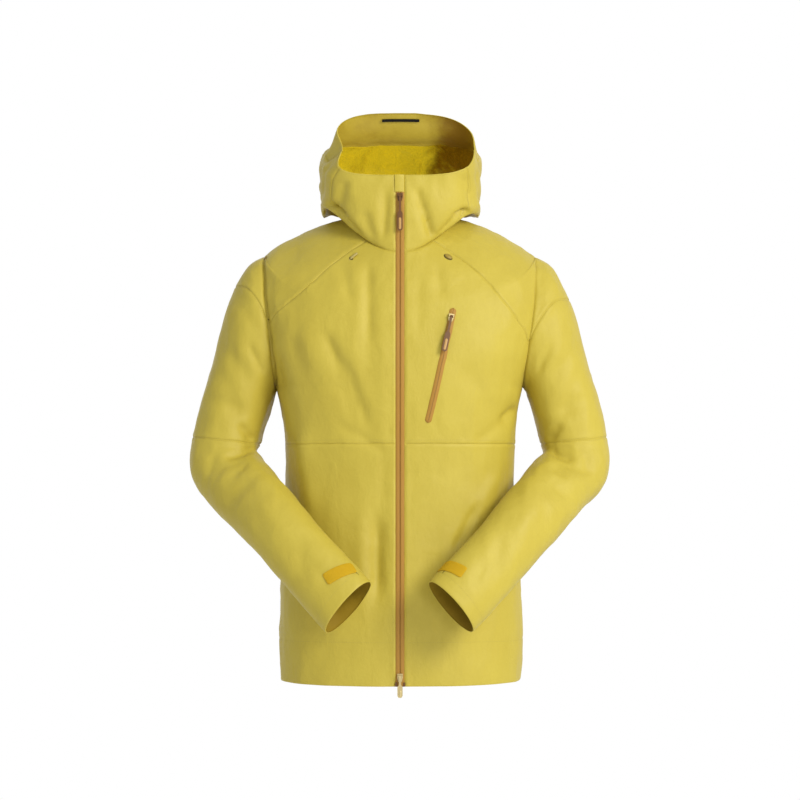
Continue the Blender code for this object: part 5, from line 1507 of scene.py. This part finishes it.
def build_hood_cloth():
    """All cut pieces of the hood."""
    tube = HOOD_TUBE
    low_shares = shares_between(tube, COLUMNS, 0.0, BRIM_SEAM_ROW)
    top_shares = shares_between(tube, BRIM_COLUMN, BRIM_SEAM_ROW, OPENING_ROW, crowd_low=False)
    front = columns_between(tube, BRIM_SEAM_ROW, 0.0, COLLAR_COLUMN)
    temple = columns_between(tube, BRIM_SEAM_ROW, COLLAR_COLUMN, BRIM_COLUMN, crowd_last=False)
    corner = columns_between(tube, BRIM_SEAM_ROW, BRIM_COLUMN, BRIM_COLUMN + 1.0, False, False)
    flank = columns_between(tube, BRIM_SEAM_ROW - 2.0, BRIM_COLUMN + 1.0, CENTRE_COLUMN, False)
    for side, word in SIDES:
        cloth_piece(f"collar_{word}", tube,
                    [patch(side * front, 0.0, BRIM_SEAM_ROW, low_shares),
                     patch(side * front, BRIM_SEAM_ROW, OPENING_ROW, top_shares)],
                    free_row=OPENING_ROW, zip_edge=True, inner=PAINTED_HOOD_LINING)
        cloth_piece(f"hood_side_{word}", tube,
                    [patch(side * temple, 0.0, BRIM_SEAM_ROW, low_shares),
                     patch(side * temple, BRIM_SEAM_ROW, OPENING_ROW, top_shares),
                     patch(side * corner, 0.0, BRIM_SEAM_ROW, low_shares),
                     patch(side * corner[:-1], BRIM_SEAM_ROW, brim_low, top_shares),
                     patch(side * flank, 0.0, BRIM_SEAM_ROW, low_shares)],
                    free_row=OPENING_ROW, inner=PAINTED_HOOD_LINING)
    wrap = 4.0 * COLUMNS
    strip = columns_between(tube, BRIM_SEAM_ROW - 2.0, CENTRE_COLUMN, wrap - CENTRE_COLUMN)
    cloth_piece("hood_centre", tube,
                [patch(strip, 0.0, BRIM_SEAM_ROW, low_shares)], inner=PAINTED_HOOD_LINING)
    over = columns_between(tube, OPENING_ROW, BRIM_COLUMN + 0.08, wrap - BRIM_COLUMN - 0.08)
    band = shares_between(tube, 2.0 * COLUMNS, BRIM_SEAM_ROW, OPENING_ROW)
    cloth_piece("hood_brim", tube, [patch(over, brim_low, OPENING_ROW, band)],
                free_row=OPENING_ROW, inner=PAINTED_BRIM_LINING)


build_hood_cloth()
print("cloth pieces:", len(FLAT_SIZES))

# %% [markdown]
# ## Small parts that lie on the cloth
# Stitches, zips, straps and seam tapes all follow the cloth. A search tree over every outer skin
# gives the nearest place on it and the way it faces, so each part sits on the cloth from any side.
# A sewing machine works the same way: it is led along an edge at a fixed distance.

# %% Places on the cloth
def skin_tree():
    """A search tree over all outer skins."""
    points = []
    quads = []
    start = 0
    for skin, faces in OUTER_SKINS:
        points += skin.tolist()
        quads += (faces + start).tolist()
        start += len(skin)
    return BVHTree.FromPolygons(points, quads)


SKIN = skin_tree()


def on_cloth(points):
    """The nearest places on the cloth, and the outward normals there."""
    found = [SKIN.find_nearest(point) for point in np.asarray(points).reshape(-1, 3).tolist()]
    shape = np.shape(points)
    places = np.array([hit[0][:] for hit in found]).reshape(shape)
    return places, np.array([hit[1][:] for hit in found]).reshape(shape)


def spaced(path, pitch):
    """Points at an even pitch along a path, by adding up its length and reading it backwards."""
    length = lengths(path)
    marks = np.arange(0.5 * pitch, length[-1], pitch)
    return np.stack([np.interp(marks, length, path[:, axis]) for axis in range(3)], axis=1)


def beside(path, distance):
    """A line at a distance beside a path: to the left when the cloth is seen from outside and the
    path runs up. The direction is the cross product of the normal and the run."""
    places, normals = on_cloth(path)
    across = unit(np.cross(normals, unit(np.gradient(path, axis=0))))
    for _ in range(3):
        across[1:-1] = (across[:-2] + across[1:-1] + across[2:]) / 3.0
    return on_cloth(places + unit(across) * distance)


print("outer skins in the search tree:", len(OUTER_SKINS))

# %% [markdown]
# ## Slabs and copies
# A thin part is a slab: an outer grid of points, an inner one, and a rim. A part that repeats, such
# as a tooth or a stitch, is one small shape copied to many places in a single mesh. That is far
# quicker for Blender than thousands of objects.

# %% Slabs and copies
COPY_SHARP = 35.0           # degrees


def slab(name, outer, inner, finish):
    """A closed shell between an outer and an inner grid of points, with a UV map in metres."""
    rows, columns = outer.shape[:2]
    points = outer.reshape(-1, 3)
    quads = facing(points, grid_quads(np.arange(rows * columns).reshape(rows, columns)),
                   (outer - inner).reshape(-1, 3))
    u, v = np.meshgrid(lengths(outer[rows // 2]), lengths(outer[:, columns // 2]))
    uv = np.stack([u.ravel(), v.ravel()], axis=1)
    return add_object(name, np.concatenate([points, inner.reshape(-1, 3)]),
                      np.concatenate(shell_faces(quads, len(points))), [finish],
                      uv=np.concatenate([uv, uv]))


def many(name, shape, faces, places, axes, finish):
    """One object of many copies of a small shape. Each copy has a place and three axes."""
    points = np.einsum("pk,nkx->npx", shape, axes) + places[:, None, :]
    first = len(shape) * np.arange(len(places))[:, None, None]
    made = add_object(name, points.reshape(-1, 3), (faces[None] + first).reshape(
        -1, faces.shape[1]), [finish], sharp=COPY_SHARP)
    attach(made, GARMENT)


BLOCK = np.array([(x, y, z) for x in (-0.5, 0.5) for y in (-0.5, 0.5) for z in (-0.5, 0.5)])
BLOCK_FACES = np.array([(0, 1, 3, 2), (4, 6, 7, 5), (0, 4, 5, 1), (2, 3, 7, 6), (0, 2, 6, 4),
                        (1, 5, 7, 3)])
print("a copied block has", len(BLOCK_FACES), "faces")

# %% [markdown]
# ## The main zip
# A coated zip: the tape faces out, and the coil of teeth is sewn behind it, so only a fine dark slot
# shows. Each tape is a profile drawn along the middle of the front. Its outer part goes behind the
# front's edge. The garage is a strip of cloth over the top end, open along the wearer's right side.

# %% Zip tapes, teeth, end stops and garage
ZIP_TOP = 0.031             # height at which the main zip ends under its garage
HEM_Z = -0.765
COLLAR_TOP = 0.059
TAPE_PROFILE = ((0.45, -1.0), (0.40, -0.3), (0.65, 0.15), (1.5, 0.38), (3.2, 0.32), (5.6, 0.1),
                (6.5, -0.25), (7.3, -1.7), (15.0, -2.0))
GARAGE_PROFILE = ((-8.3, 0.95), (-8.1, 1.35), (-7.0, 1.5), (-3.5, 1.7), (0.0, 1.5), (3.5, 1.0),
                  (6.6, 0.2))
X_AXIS = np.array([1.0, 0.0, 0.0])
TAPE_STEP = 0.004
ZIP_TAPE_THICK = 0.0006
GARAGE_THICK = 0.0009
TOOTH_PITCH = 0.0014
TOOTH_SIZE = (0.0042, 0.0012, 0.0008)
TOOTH_ASIDE = 0.0012        # teeth stand by turns to the left and right of the middle
TOOTH_BEHIND = 0.0017
STOP_SIZE = (0.0030, 0.0016, 0.0066)
STOP_X = (-0.0062, 0.0068)
STOP_RISE = (0.001, 0.009)
STOP_OUT = 0.0009


def centre_line(low, high, pitch):
    """Points and normals up the middle of the front between two heights."""
    rows = np.linspace(0.0, NECK_ROW, 200)
    hood = np.linspace(0.0, OPENING_ROW, 80)[1:]
    path = np.concatenate([torso_base("front")(rows, np.zeros_like(rows)),
                           hood_base(hood, np.zeros_like(hood))])
    z = np.linspace(low, high, int((high - low) / pitch) + 2)
    y = np.interp(z, path[:, 2], path[:, 1])
    normals = np.stack([np.zeros_like(z), -np.ones_like(z), np.gradient(y, z)], axis=1)
    return np.stack([np.zeros_like(z), y, z], axis=1), unit(normals)


def profiled(path, normals, across, profile, thickness):
    """Outer and inner grids of a profile drawn along a path. The profile is in millimetres."""
    offset, height = np.array(profile).T * MILLIMETRE
    outer = (path[:, None] + across * offset[None, :, None]
             + normals[:, None] * height[None, :, None])
    return outer, outer - normals[:, None] * thickness


def build_main_zip():
    """Both tapes, the teeth behind them, the end stops and the garage."""
    path, normals = centre_line(HEM_Z, ZIP_TOP, TAPE_STEP)
    for side, word in SIDES:
        grids = profiled(path, normals, side * X_AXIS, TAPE_PROFILE, ZIP_TAPE_THICK)
        tape = slab(f"zip_tape_{word}_cloth", *grids, ZIP_TAPE)
        dress(tape, f"zip_tape_{word}")
    teeth, out = centre_line(HEM_Z + TAPE_STEP, ZIP_TOP - TAPE_STEP, TOOTH_PITCH)
    turn = np.where(np.arange(len(teeth)) % 2, 1.0, -1.0)[:, None]
    axes = np.stack([np.tile(X_AXIS, (len(teeth), 1)), out, np.cross(X_AXIS, out)], axis=1)
    many("zip_teeth", BLOCK * TOOTH_SIZE, BLOCK_FACES,
         teeth + X_AXIS * turn * TOOTH_ASIDE - out * TOOTH_BEHIND, axes, TOOTH)
    ends, out = centre_line(HEM_Z + STOP_RISE[0], HEM_Z + STOP_RISE[1], TAPE_STEP)
    stops = np.array([ends[1] + X_AXIS * x + out[1] * STOP_OUT for x in STOP_X])
    many("zip_stops", BLOCK * STOP_SIZE, BLOCK_FACES, stops, np.tile(np.eye(3), (2, 1, 1)),
         DARK_PULL)
    grids = profiled(*centre_line(ZIP_TOP, COLLAR_TOP, TAPE_STEP / 2.0), X_AXIS, GARAGE_PROFILE,
                     GARAGE_THICK)
    garage = slab("zip_garage_cloth", *grids, SHELL)
    dress(garage, "zip_garage")
    print("main zip:", len(teeth), "teeth over", round(ZIP_TOP - HEM_Z, 3), "m")


build_main_zip()

# %% [markdown]
# ## The pocket zip
# The same zip on a small scale, in a welded opening. Its ends are round. The profile narrows along a
# half circle at both ends, and a bump at the top is the little garage that the slider runs into.

# %% Pocket zip
POCKET_TOP = (0.0843, -0.11, -0.1615)
POCKET_BOTTOM = (0.0452, -0.14, -0.3437)
POCKET_PROFILE = ((-5.5, 0.05), (-5.3, 0.65), (-4.7, 1.0), (-2.6, 1.6), (-0.9, 1.9), (-0.45, 1.8),
                  (-0.3, 1.1), (0.3, 1.1), (0.45, 1.8), (0.9, 1.9), (2.6, 1.6), (4.7, 1.0),
                  (5.3, 0.65), (5.5, 0.05))
POCKET_ROUND = 0.0055       # radius of its ends
POCKET_TIP = 0.004          # the square of the narrowest share, at the very ends
POCKET_GARAGE = Relief(0.0006, 0.003)
POCKET_GARAGE_AT = 0.004
POCKET_UNDER = 0.0003
POCKET_TOOTH = (0.0009, 0.0008, 0.0009)
POCKET_TOOTH_OUT = 0.0013


def pocket_line(count):
    """Places, normals and across directions from the pocket zip's bottom to its top."""
    share = np.linspace(0.0, 1.0, count)[:, None]
    low = np.array(POCKET_BOTTOM)
    places, normals = on_cloth(low + share * (np.array(POCKET_TOP) - low))
    for _ in range(6):
        normals[1:-1] = unit(normals[:-2] + normals[1:-1] + normals[2:])
    return places, normals, unit(np.cross(unit(np.gradient(places, axis=0)), normals))


def build_pocket_zip():
    """The pocket zip with its rounded ends, its teeth and the garage at its top."""
    path, normals, across = pocket_line(120)
    offset, height = np.array(POCKET_PROFILE).T * MILLIMETRE
    along = lengths(path)
    from_top = along[-1] - along
    end = np.maximum(1.0 - np.minimum(along, from_top) / POCKET_ROUND, 0.0)
    narrow = np.sqrt(np.maximum(1.0 - end ** 2, POCKET_TIP))
    bump = relief(POCKET_GARAGE, from_top - POCKET_GARAGE_AT)
    flat = path[:, None] + across[:, None] * (narrow[:, None] * offset)[..., None]
    outer = flat + normals[:, None] * (height + bump[:, None])[..., None]
    made = slab("pocket_zip_cloth", outer, flat - normals[:, None] * POCKET_UNDER, ZIP_TAPE)
    dress(made, "pocket_zip")
    teeth = spaced(path[3:-8], TOOTH_PITCH)
    places, out = on_cloth(teeth)
    run = unit(np.gradient(teeth, axis=0))
    many("pocket_zip_teeth", BLOCK * POCKET_TOOTH, BLOCK_FACES, places + out * POCKET_TOOTH_OUT,
         np.stack([np.cross(run, out), out, run], axis=1), TOOTH)
    print("pocket zip:", round(float(along[-1]), 3), "m long")


build_pocket_zip()

# %% [markdown]
# ## Sliders and pulls
# Their shapes in the frame are right, so they stay and only get better finishes. Each pull gets a
# pale rubber inlay in its grip, which moves with it.

# %% Finishes of the hard parts, and inlays
HARD_FINISHES = {"top_slider": DARK_PULL, "top_pull": DARK_PULL, "hem_slider": BRONZE,
                 "hem_pull": BRONZE, "pocket_slider": BRONZE, "pocket_pull": DARK_PULL,
                 "brim_strip": BLACK_TAPE}
# each pull's plate: width, length and finish
INLAYS = {"top_pull": (0.0040, 0.019, PALE_INLAY), "pocket_pull": (0.0040, 0.019, PALE_INLAY),
          "hem_pull": (0.0036, 0.010, BRONZE)}
INLAY_LEVELS = ((1.0, -0.0002), (1.0, 0.00035), (0.86, 0.0005), (0.02, 0.0005))
GRIP_LENGTH = 0.012
GRIP_RIM = 0.0022
for node, finish in HARD_FINISHES.items():
    for material_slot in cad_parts[node].material_slots:
        material_slot.material = finish


def pull_axes(node):
    """A pull's points and its axes: along it, across it and out of it are the directions in which
    the points spread most, less and least."""
    points = np.array([vertex.co[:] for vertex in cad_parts[node].data.vertices])
    _left, _size, axes = np.linalg.svd(points - points.mean(axis=0), full_matrices=False)
    run = axes[0] * -np.sign(axes[0][2])
    out = axes[2] * -np.sign(axes[2][1])
    return points, run, np.cross(out, run), out


def ring_mesh(grid):
    """Points and faces of a stack of closed rings."""
    points = grid.reshape(-1, 3)
    faces = grid_quads(np.arange(len(points)).reshape(grid.shape[:2]))
    return points, facing(points, faces, points - points.mean(axis=0))


def build_inlay(pull, width, length, finish):
    """A rounded plate on the front of a pull's grip, which moves with it."""
    points, run, across, out = pull_axes(pull)
    far = (points @ run).max()
    grip = points[(points @ run) > far - GRIP_LENGTH]
    centre = ((grip @ across).max() + (grip @ across).min()) / 2.0
    turn = np.linspace(0.0, 2.0 * math.pi, 25)[:-1]
    side_way = np.clip(1.35 * np.cos(turn), -1.0, 1.0) * width / 2.0
    up_way = np.sign(np.sin(turn)) * np.abs(np.sin(turn)) ** 0.5 * length / 2.0
    place = across * centre + run * (far - GRIP_RIM - length / 2.0) + out * (grip @ out).max()
    ring = side_way[:, None] * across + up_way[:, None] * run
    grid = np.array([place + ring * share + out * height for share, height in INLAY_LEVELS])
    grid = np.concatenate([grid, grid[:, :1]], axis=1)
    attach(add_object(f"{pull}_inlay", *ring_mesh(grid), [finish]), pull)


for pull, plate in INLAYS.items():
    build_inlay(pull, *plate)
print("inlays:", len(INLAYS))

# %% [markdown]
# ## Cuff straps
# A gold webbing strap goes round the front and inner side of each cuff. It is a narrow sheet with
# rounded corners, thicker along its sewn edges. Where it goes under the cuff's end, a thin dark lens
# on the cloth is painted shade.

# %% Cuff straps
STRAP_WIDTH = 0.020
# each strap's sleeve columns and rows, at its free end and at the slit
STRAP_SPAN = {"left": (6.5, 10.5, 11.28, 11.42), "right": (5.3, 8.7, 11.22, 11.43)}


STRAP_HEIGHT = 0.0019
STRAP_UNDER = 0.0003
STRAP_EDGE = Relief(-0.0006, 0.12)      # this reach is a share of half the width
STRAP_END = Relief(-0.0006, 0.0015)
STRAP_CORNER = 0.004
CORNER_SHARE = 0.18
# each painted shade line's ends, as x and z
SLIT_SHADES = {"right": ((-0.0809, -0.5586), (-0.0631, -0.5807)),
         "left": ((0.0741, -0.5570), (0.0615, -0.5743))}
SLIT_REACH = 0.0009
SLIT_ABOVE = 0.0004


def build_cuff_strap(side, word):
    """A strap along the cuff, a little narrower and thinner at its ends."""
    start, end, first_row, last_row = STRAP_SPAN[word]
    path, normals = on_cloth(SLEEVES[side].base(np.linspace(first_row, last_row, 60),
                                                np.linspace(start, end, 60)))
    across = unit(np.cross(normals, unit(np.gradient(path, axis=0))))
    along = lengths(path)
    to_end = np.minimum(along, along[-1] - along)
    narrow = 1.0 - CORNER_SHARE * np.maximum(1.0 - to_end / STRAP_CORNER, 0.0) ** 2
    share = np.linspace(-1.0, 1.0, 13)
    flat = path[:, None] + across[:, None] * (narrow[:, None] * share * STRAP_WIDTH / 2.0)[..., None]
    places, out = on_cloth(flat)
    height = STRAP_HEIGHT + relief(STRAP_EDGE, 1.0 - np.abs(share))
    height = height + relief(STRAP_END, to_end)[:, None]
    strap = slab(f"cuff_strap_{word}_cloth", places + out * height[..., None],
                 places + out * STRAP_UNDER, STRAP)
    dress(strap, f"cuff_strap_{word}")
    print("strap:", word, round(float(along[-1]), 4), "m")


def build_slit_shade(word, ends):
    """Painted shade where a strap goes under the cuff's end: a thin dark lens on the cloth."""
    share = np.linspace(0.0, 1.0, 14)[:, None]
    rough = np.array([[x, -0.22, z] for x, z in ends])
    path, out = on_cloth(rough[0] * (1.0 - share) + rough[1] * share)
    across = unit(np.cross(out, unit(np.gradient(path, axis=0))))
    reach = SLIT_REACH * np.sin(math.pi * np.clip(share, 0.04, 0.96))
    grid = path[:, None] + across[:, None] * (reach * np.array([-1.0, 0.0, 1.0]))[..., None]
    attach(slab(f"strap_slit_shade_{word}", grid + out[:, None] * SLIT_ABOVE,
                 grid - out[:, None] * STRAP_UNDER, PAINTED_SHADE), GARMENT)


for side, word in SIDES:
    build_cuff_strap(side, word)
for word, ends in SLIT_SHADES.items():
    build_slit_shade(word, ends)

# %% [markdown]
# ## Stitches
# About four thousand stitches hold the cut pieces together. Each is a small eight-sided lozenge of
# thread, 2.6 mm long, that lies on the cloth and follows the run of its seam. A shape that is
# repeated so often has to be plain.

# %% Seam paths
STITCH_ASIDE = 0.0020
SECOND_ASIDE = 0.0066       # the second row of stitches above the waist seam
BOTH_SIDES = (STITCH_ASIDE, -STITCH_ASIDE)
ZIP_STITCH_X = 0.0112
CUFF_HEM_ROWS = 0.42
OPENING_HEM_ROWS = 0.25


def tube_path(tube, rows, columns):
    """Points on a tube's plain surface, both arguments stretched to one length."""
    rows, columns = np.broadcast_arrays(np.asarray(rows, float), np.asarray(columns, float))
    return tube.base(rows, columns)


def seam(tube, rows, columns, *distances):
    """A seam's path on a tube, and the distances beside it at which it is sewn."""
    return tube_path(tube, rows, columns), distances


def body_seams():
    """The body's seams and its stitched hem."""
    front = TORSO["front"]
    back = TORSO["back"]
    low_rows = np.linspace(0.0, 3.0, 40)
    hem_row = float(np.interp(HEM_LINE_Z, tube_path(front, low_rows, 4.0)[:, 2], low_rows))
    climb = np.linspace(ARMPIT_ROW, SHOULDER_ROW, 50)
    bend = np.concatenate([np.full(20, YOKE_COLUMN), np.linspace(YOKE_COLUMN, COLUMNS, 60)])
    edge, _normals = centre_line(HEM_Z + TAPE_STEP, ZIP_TOP + 0.02, TAPE_STEP)
    lines = []
    for side, _word in SIDES:
        aside = side * STITCH_ASIDE
        run = np.linspace(0.35, COLUMNS, 70) * side
        rows = yoke_row(side * bend)
        rows[:20] = np.linspace(NECK_ROW, rows[20], 20)
        lines += [seam(front, SEAM_ROW, run, aside, side * SECOND_ASIDE),
                  seam(front, hem_row, run, 0.0),
                  seam(front, rows, side * bend, aside),
                  seam(front, climb, side * COLUMNS, aside),
                  seam(back, climb, side * COLUMNS, -aside),
                  seam(front, np.linspace(0.05, ARMPIT_ROW, 70), side * COLUMNS, STITCH_ASIDE),
                  seam(front, NECK_ROW, side * np.linspace(0.4, 6.0, 40), -aside),
                  (edge + X_AXIS * side * ZIP_STITCH_X, (0.0,))]
    return lines + [seam(back, hem_row, np.linspace(COLUMNS, 3.0 * COLUMNS, 120), 0.0)]


def sleeve_seams():
    """The sleeves' seams: cap, elbow and the stitched hem of the cuff."""
    around = np.linspace(-10.0, 10.0, 90)
    lines = []
    for side, _word in SIDES:
        tube = SLEEVES[side]
        tip = CAP_SEAM_COLUMN[side] - 2.0 * CAP_TIP
        over = np.linspace(-tip, tip, 60)
        lines += [seam(tube, cap_row(side)(over), over, *BOTH_SIDES),
                  seam(tube, ELBOW_SEAM_ROW, around, *BOTH_SIDES),
                  seam(tube, CUFF_ROW - CUFF_HEM_ROWS, around, 0.0)]
    return lines


def hood_seams():
    """The hood's seams: collar, centre strip, brim, and the face opening's hem."""
    tube = HOOD_TUBE
    lines = []
    for side, _word in SIDES:
        lines += [seam(tube, np.linspace(0.3, OPENING_ROW - 0.1, 50), side * COLLAR_COLUMN,
                       *BOTH_SIDES),
                  seam(tube, np.linspace(0.2, BRIM_SEAM_ROW - 0.1, 80), side * CENTRE_COLUMN,
                       *BOTH_SIDES)]
    wrap = 4.0 * COLUMNS
    over = np.linspace(BRIM_COLUMN + 1.0, wrap - BRIM_COLUMN - 1.0, 120)
    around = np.linspace(0.6, wrap - 0.6, 160)
    return lines + [seam(tube, BRIM_SEAM_ROW, over, *BOTH_SIDES),
                    seam(tube, OPENING_ROW - OPENING_HEM_ROWS, around, 0.0)]


SEAMS = {"body": body_seams(), "sleeves": sleeve_seams(), "hood": hood_seams()}
print("seams:", {part: len(lines) for part, lines in SEAMS.items()})

# %% [markdown]
# ## Sewing
# Each seam is walked at the stitches' pitch. Every stitch takes the cloth's normal at its place,
# and its long axis follows the seam, so the rows run true over the folds.

# %% Stitches
LOZENGE = np.array([(-1.0, 0.0, 0.0), (0.0, -1.0, 0.0), (1.0, 0.0, 0.0), (0.0, 1.0, 0.0),
                    (0.0, 0.0, 1.0), (0.0, 0.0, -1.0)])
LOZENGE_FACES = np.array([(0, 1, 4), (1, 2, 4), (2, 3, 4), (3, 0, 4), (1, 0, 5), (2, 1, 5),
                          (3, 2, 5), (0, 3, 5)])
STITCH_SIZE = (0.0013, 0.00028, 0.00022)    # half its length, width and height
STITCH_PITCH = 0.0036
STITCH_LIFT = 0.00012


def sew(name, lines):
    """All the stitches of a group of seams, as one object."""
    places = []
    axes = []
    for path, distances in lines:
        for distance in distances:
            line = beside(path, distance)[0] if distance else on_cloth(path)[0]
            spots = spaced(line, STITCH_PITCH)
            run = unit(np.gradient(spots, axis=0))
            seats, normals = on_cloth(spots)
            across = unit(np.cross(normals, run))
            places.append(seats + normals * STITCH_LIFT)
            axes.append(np.stack([unit(np.cross(across, normals)), across, normals], axis=1))
    places = np.concatenate(places)
    many(name, LOZENGE * STITCH_SIZE, LOZENGE_FACES, places, np.concatenate(axes), THREAD_YELLOW)
    return len(places)


for part, lines in SEAMS.items():
    print("stitches:", part, sew(f"stitches_{part}", lines))

# %% [markdown]
# ## Cord ends at the neck
# A thin elastic cord tightens the hood. On the wearer's left it ends behind an oval moulded button,
# set aslant, with a dark ring of painted shadow below it. On the right its light end comes out of a
# small hole, a dark oval of painted shade, and lies up along the cloth.

# %% Button, hole and cord end
BUTTON_PLACE = (0.0826, -0.0640)    # x and z
BUTTON_SIZE = (0.0068, 0.0040)      # half length and half width
BUTTON_TILT = -35.0                 # degrees
HOLE_PLACE = (-0.0818, -0.0695)
CORD_WIDTH = 0.0040
CORD_WAY = (0.78, 0.62)             # to the right and up
CORD_INSIDE = 0.016
CORD_SINK = 0.0050
CORD_OUTSIDE = 0.0125
CORD_ARCH = 0.0024
CORD_LIFT = 0.0008


def seat(x, z):
    """The cloth's place, and the directions to the right, up and out, at a place on the front."""
    place, out = on_cloth(np.array([x, -0.10, z]))
    right = unit(np.cross(out, np.array([0.0, 0.0, -1.0])))
    right *= np.sign(right[0])
    up = unit(np.cross(right, out))
    return place, right, up * np.sign(up[2]), out


def oval(name, x, z, size, tilt, levels, finish, node):
    """A turned oval cap: rings whose share of the size and whose height follow a small table."""
    place, right, up, out = seat(x, z)
    turn = np.linspace(0.0, 2.0 * math.pi, 37)
    angle = math.radians(tilt)
    first = right * math.cos(angle) + up * math.sin(angle)
    second = up * math.cos(angle) - right * math.sin(angle)
    ring = (first * size[0] * np.cos(turn)[:, None] + second * size[1] * np.sin(turn)[:, None])
    grid = np.array([place + ring * share + out * height for share, height in levels])
    made = add_object(name, *ring_mesh(grid), [finish])
    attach(made, GARMENT)
    if node:
        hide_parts(node)
    return place, first, second, out


oval("cord_button", *BUTTON_PLACE, BUTTON_SIZE, BUTTON_TILT,
     ((0.96, -0.0006), (1.0, 0.0008), (0.98, 0.0016), (0.86, 0.0022), (0.80, 0.0019),
      (0.55, 0.0024), (0.02, 0.0026)), BUTTON, "cord_eyelet_left")
# a dark ring just below the button, towards the wearer's right: painted shadow
oval("button_shadow_ring", BUTTON_PLACE[0] - 0.0006, BUTTON_PLACE[1] - 0.0009,
     (BUTTON_SIZE[0] + 0.0010, BUTTON_SIZE[1] + 0.0010), BUTTON_TILT,
     ((1.0, -0.0005), (0.97, 0.0007), (0.80, 0.0009), (0.02, 0.0009)), PAINTED_SHADE, None)
# the hole is a dark oval lying on the cloth: painted shade
oval("cord_hole_shade", *HOLE_PLACE, (0.0036, 0.0026), -40.0,
     ((1.0, -0.0004), (1.0, 0.0010), (0.84, 0.0013), (0.68, 0.0004), (0.02, 0.0002)), PAINTED_SHADE,
     "cord_eyelet_right")


def build_cord_end():
    """The cord's end: up from behind the cloth through the hole, then along the cloth to a knot."""
    place, right, up, out = seat(*HOLE_PLACE)
    away = unit(right * CORD_WAY[0] + up * CORD_WAY[1])
    steps = np.linspace(0.0, 1.0, 15)[:, None]
    back = 1.0 - steps
    inside = place - away * CORD_INSIDE * back - out * CORD_SINK * back ** 0.5
    outside = (place + away * CORD_OUTSIDE * steps[1:]
               + out * CORD_ARCH * np.sin(steps[1:] * math.pi / 2.0))
    path = np.concatenate([inside, outside]) + out * CORD_LIFT
    tube = bpy.data.curves.new("cord_end", "CURVE")
    tube.dimensions = "3D"
    tube.bevel_depth = CORD_WIDTH / 2.0
    tube.bevel_resolution = 3
    tube.use_fill_caps = True
    line = tube.splines.new("POLY")
    line.points.add(len(path) - 1)
    line.points.foreach_set("co", np.concatenate([path, np.ones((len(path), 1))], axis=1).ravel())
    tube.materials.append(CORD)
    cord = bpy.data.objects.new("cord_end", tube)
    bpy.context.scene.collection.objects.link(cord)
    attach(cord, GARMENT)
    length = float(lengths(path)[-1])
    print("cord end:", round(length, 4))


build_cord_end()

# %% [markdown]
# ## Seam tapes
# A waterproof shell has a narrow film welded over each seam on its inner face, so that no water
# comes through the needle holes. The tapes are ribbons drawn along the same paths as the stitches,
# just behind the cloth's inner skin.

# %% Seam tapes inside
TAPE_WIDTH = 0.016
TAPE_BEHIND = CLOTH + 0.0004
TAPE_THICK = 0.0003
TAPE_PITCH = 0.008


def seam_tape(name, path, finish=SEAM_TAPE):
    """A ribbon along a seam path, behind the cloth, following it across as well."""
    path = spaced(path, TAPE_PITCH)
    share = np.linspace(-0.5, 0.5, 5)
    lines = [beside(path, TAPE_WIDTH * part) if part else on_cloth(path) for part in share]
    places = np.stack([line[0] for line in lines], axis=1)
    normals = np.stack([line[1] for line in lines], axis=1)
    outer = places - normals * TAPE_BEHIND
    tape = slab(name, outer, outer - normals * TAPE_THICK, finish)
    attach(tape, GARMENT)
    length = float(lengths(places[:, len(share) // 2])[-1])


def build_tapes():
    """Tapes behind the waist, side, shoulder, elbow and hood seams."""
    front = TORSO["front"]
    hood = np.linspace(1.0, BRIM_SEAM_ROW - 0.4, 60)
    yoke = np.linspace(4.2, 8.4, 40)
    for side, word in SIDES:
        seam_tape(f"waist_tape_{word}", tube_path(front, SEAM_ROW, side * np.linspace(1.2, 8.6, 50)))
        seam_tape(f"side_tape_{word}",
                  tube_path(front, np.linspace(0.5, ARMPIT_ROW - 0.8, 50), side * COLUMNS))
        seam_tape(f"yoke_tape_{word}", tube_path(front, yoke_row(side * yoke), side * yoke))
        seam_tape(f"elbow_tape_{word}",
                  tube_path(SLEEVES[side], ELBOW_SEAM_ROW, np.linspace(-9.8, 9.8, 60)))
        seam_tape(f"hood_tape_{word}", tube_path(HOOD_TUBE, hood, side * CENTRE_COLUMN),
                  PAINTED_HOOD_LINING)


build_tapes()
print("seam tapes:", TAPE_WIDTH, "m wide")

# %% [markdown]
# The dressed jacket has to stay the size of its frame.
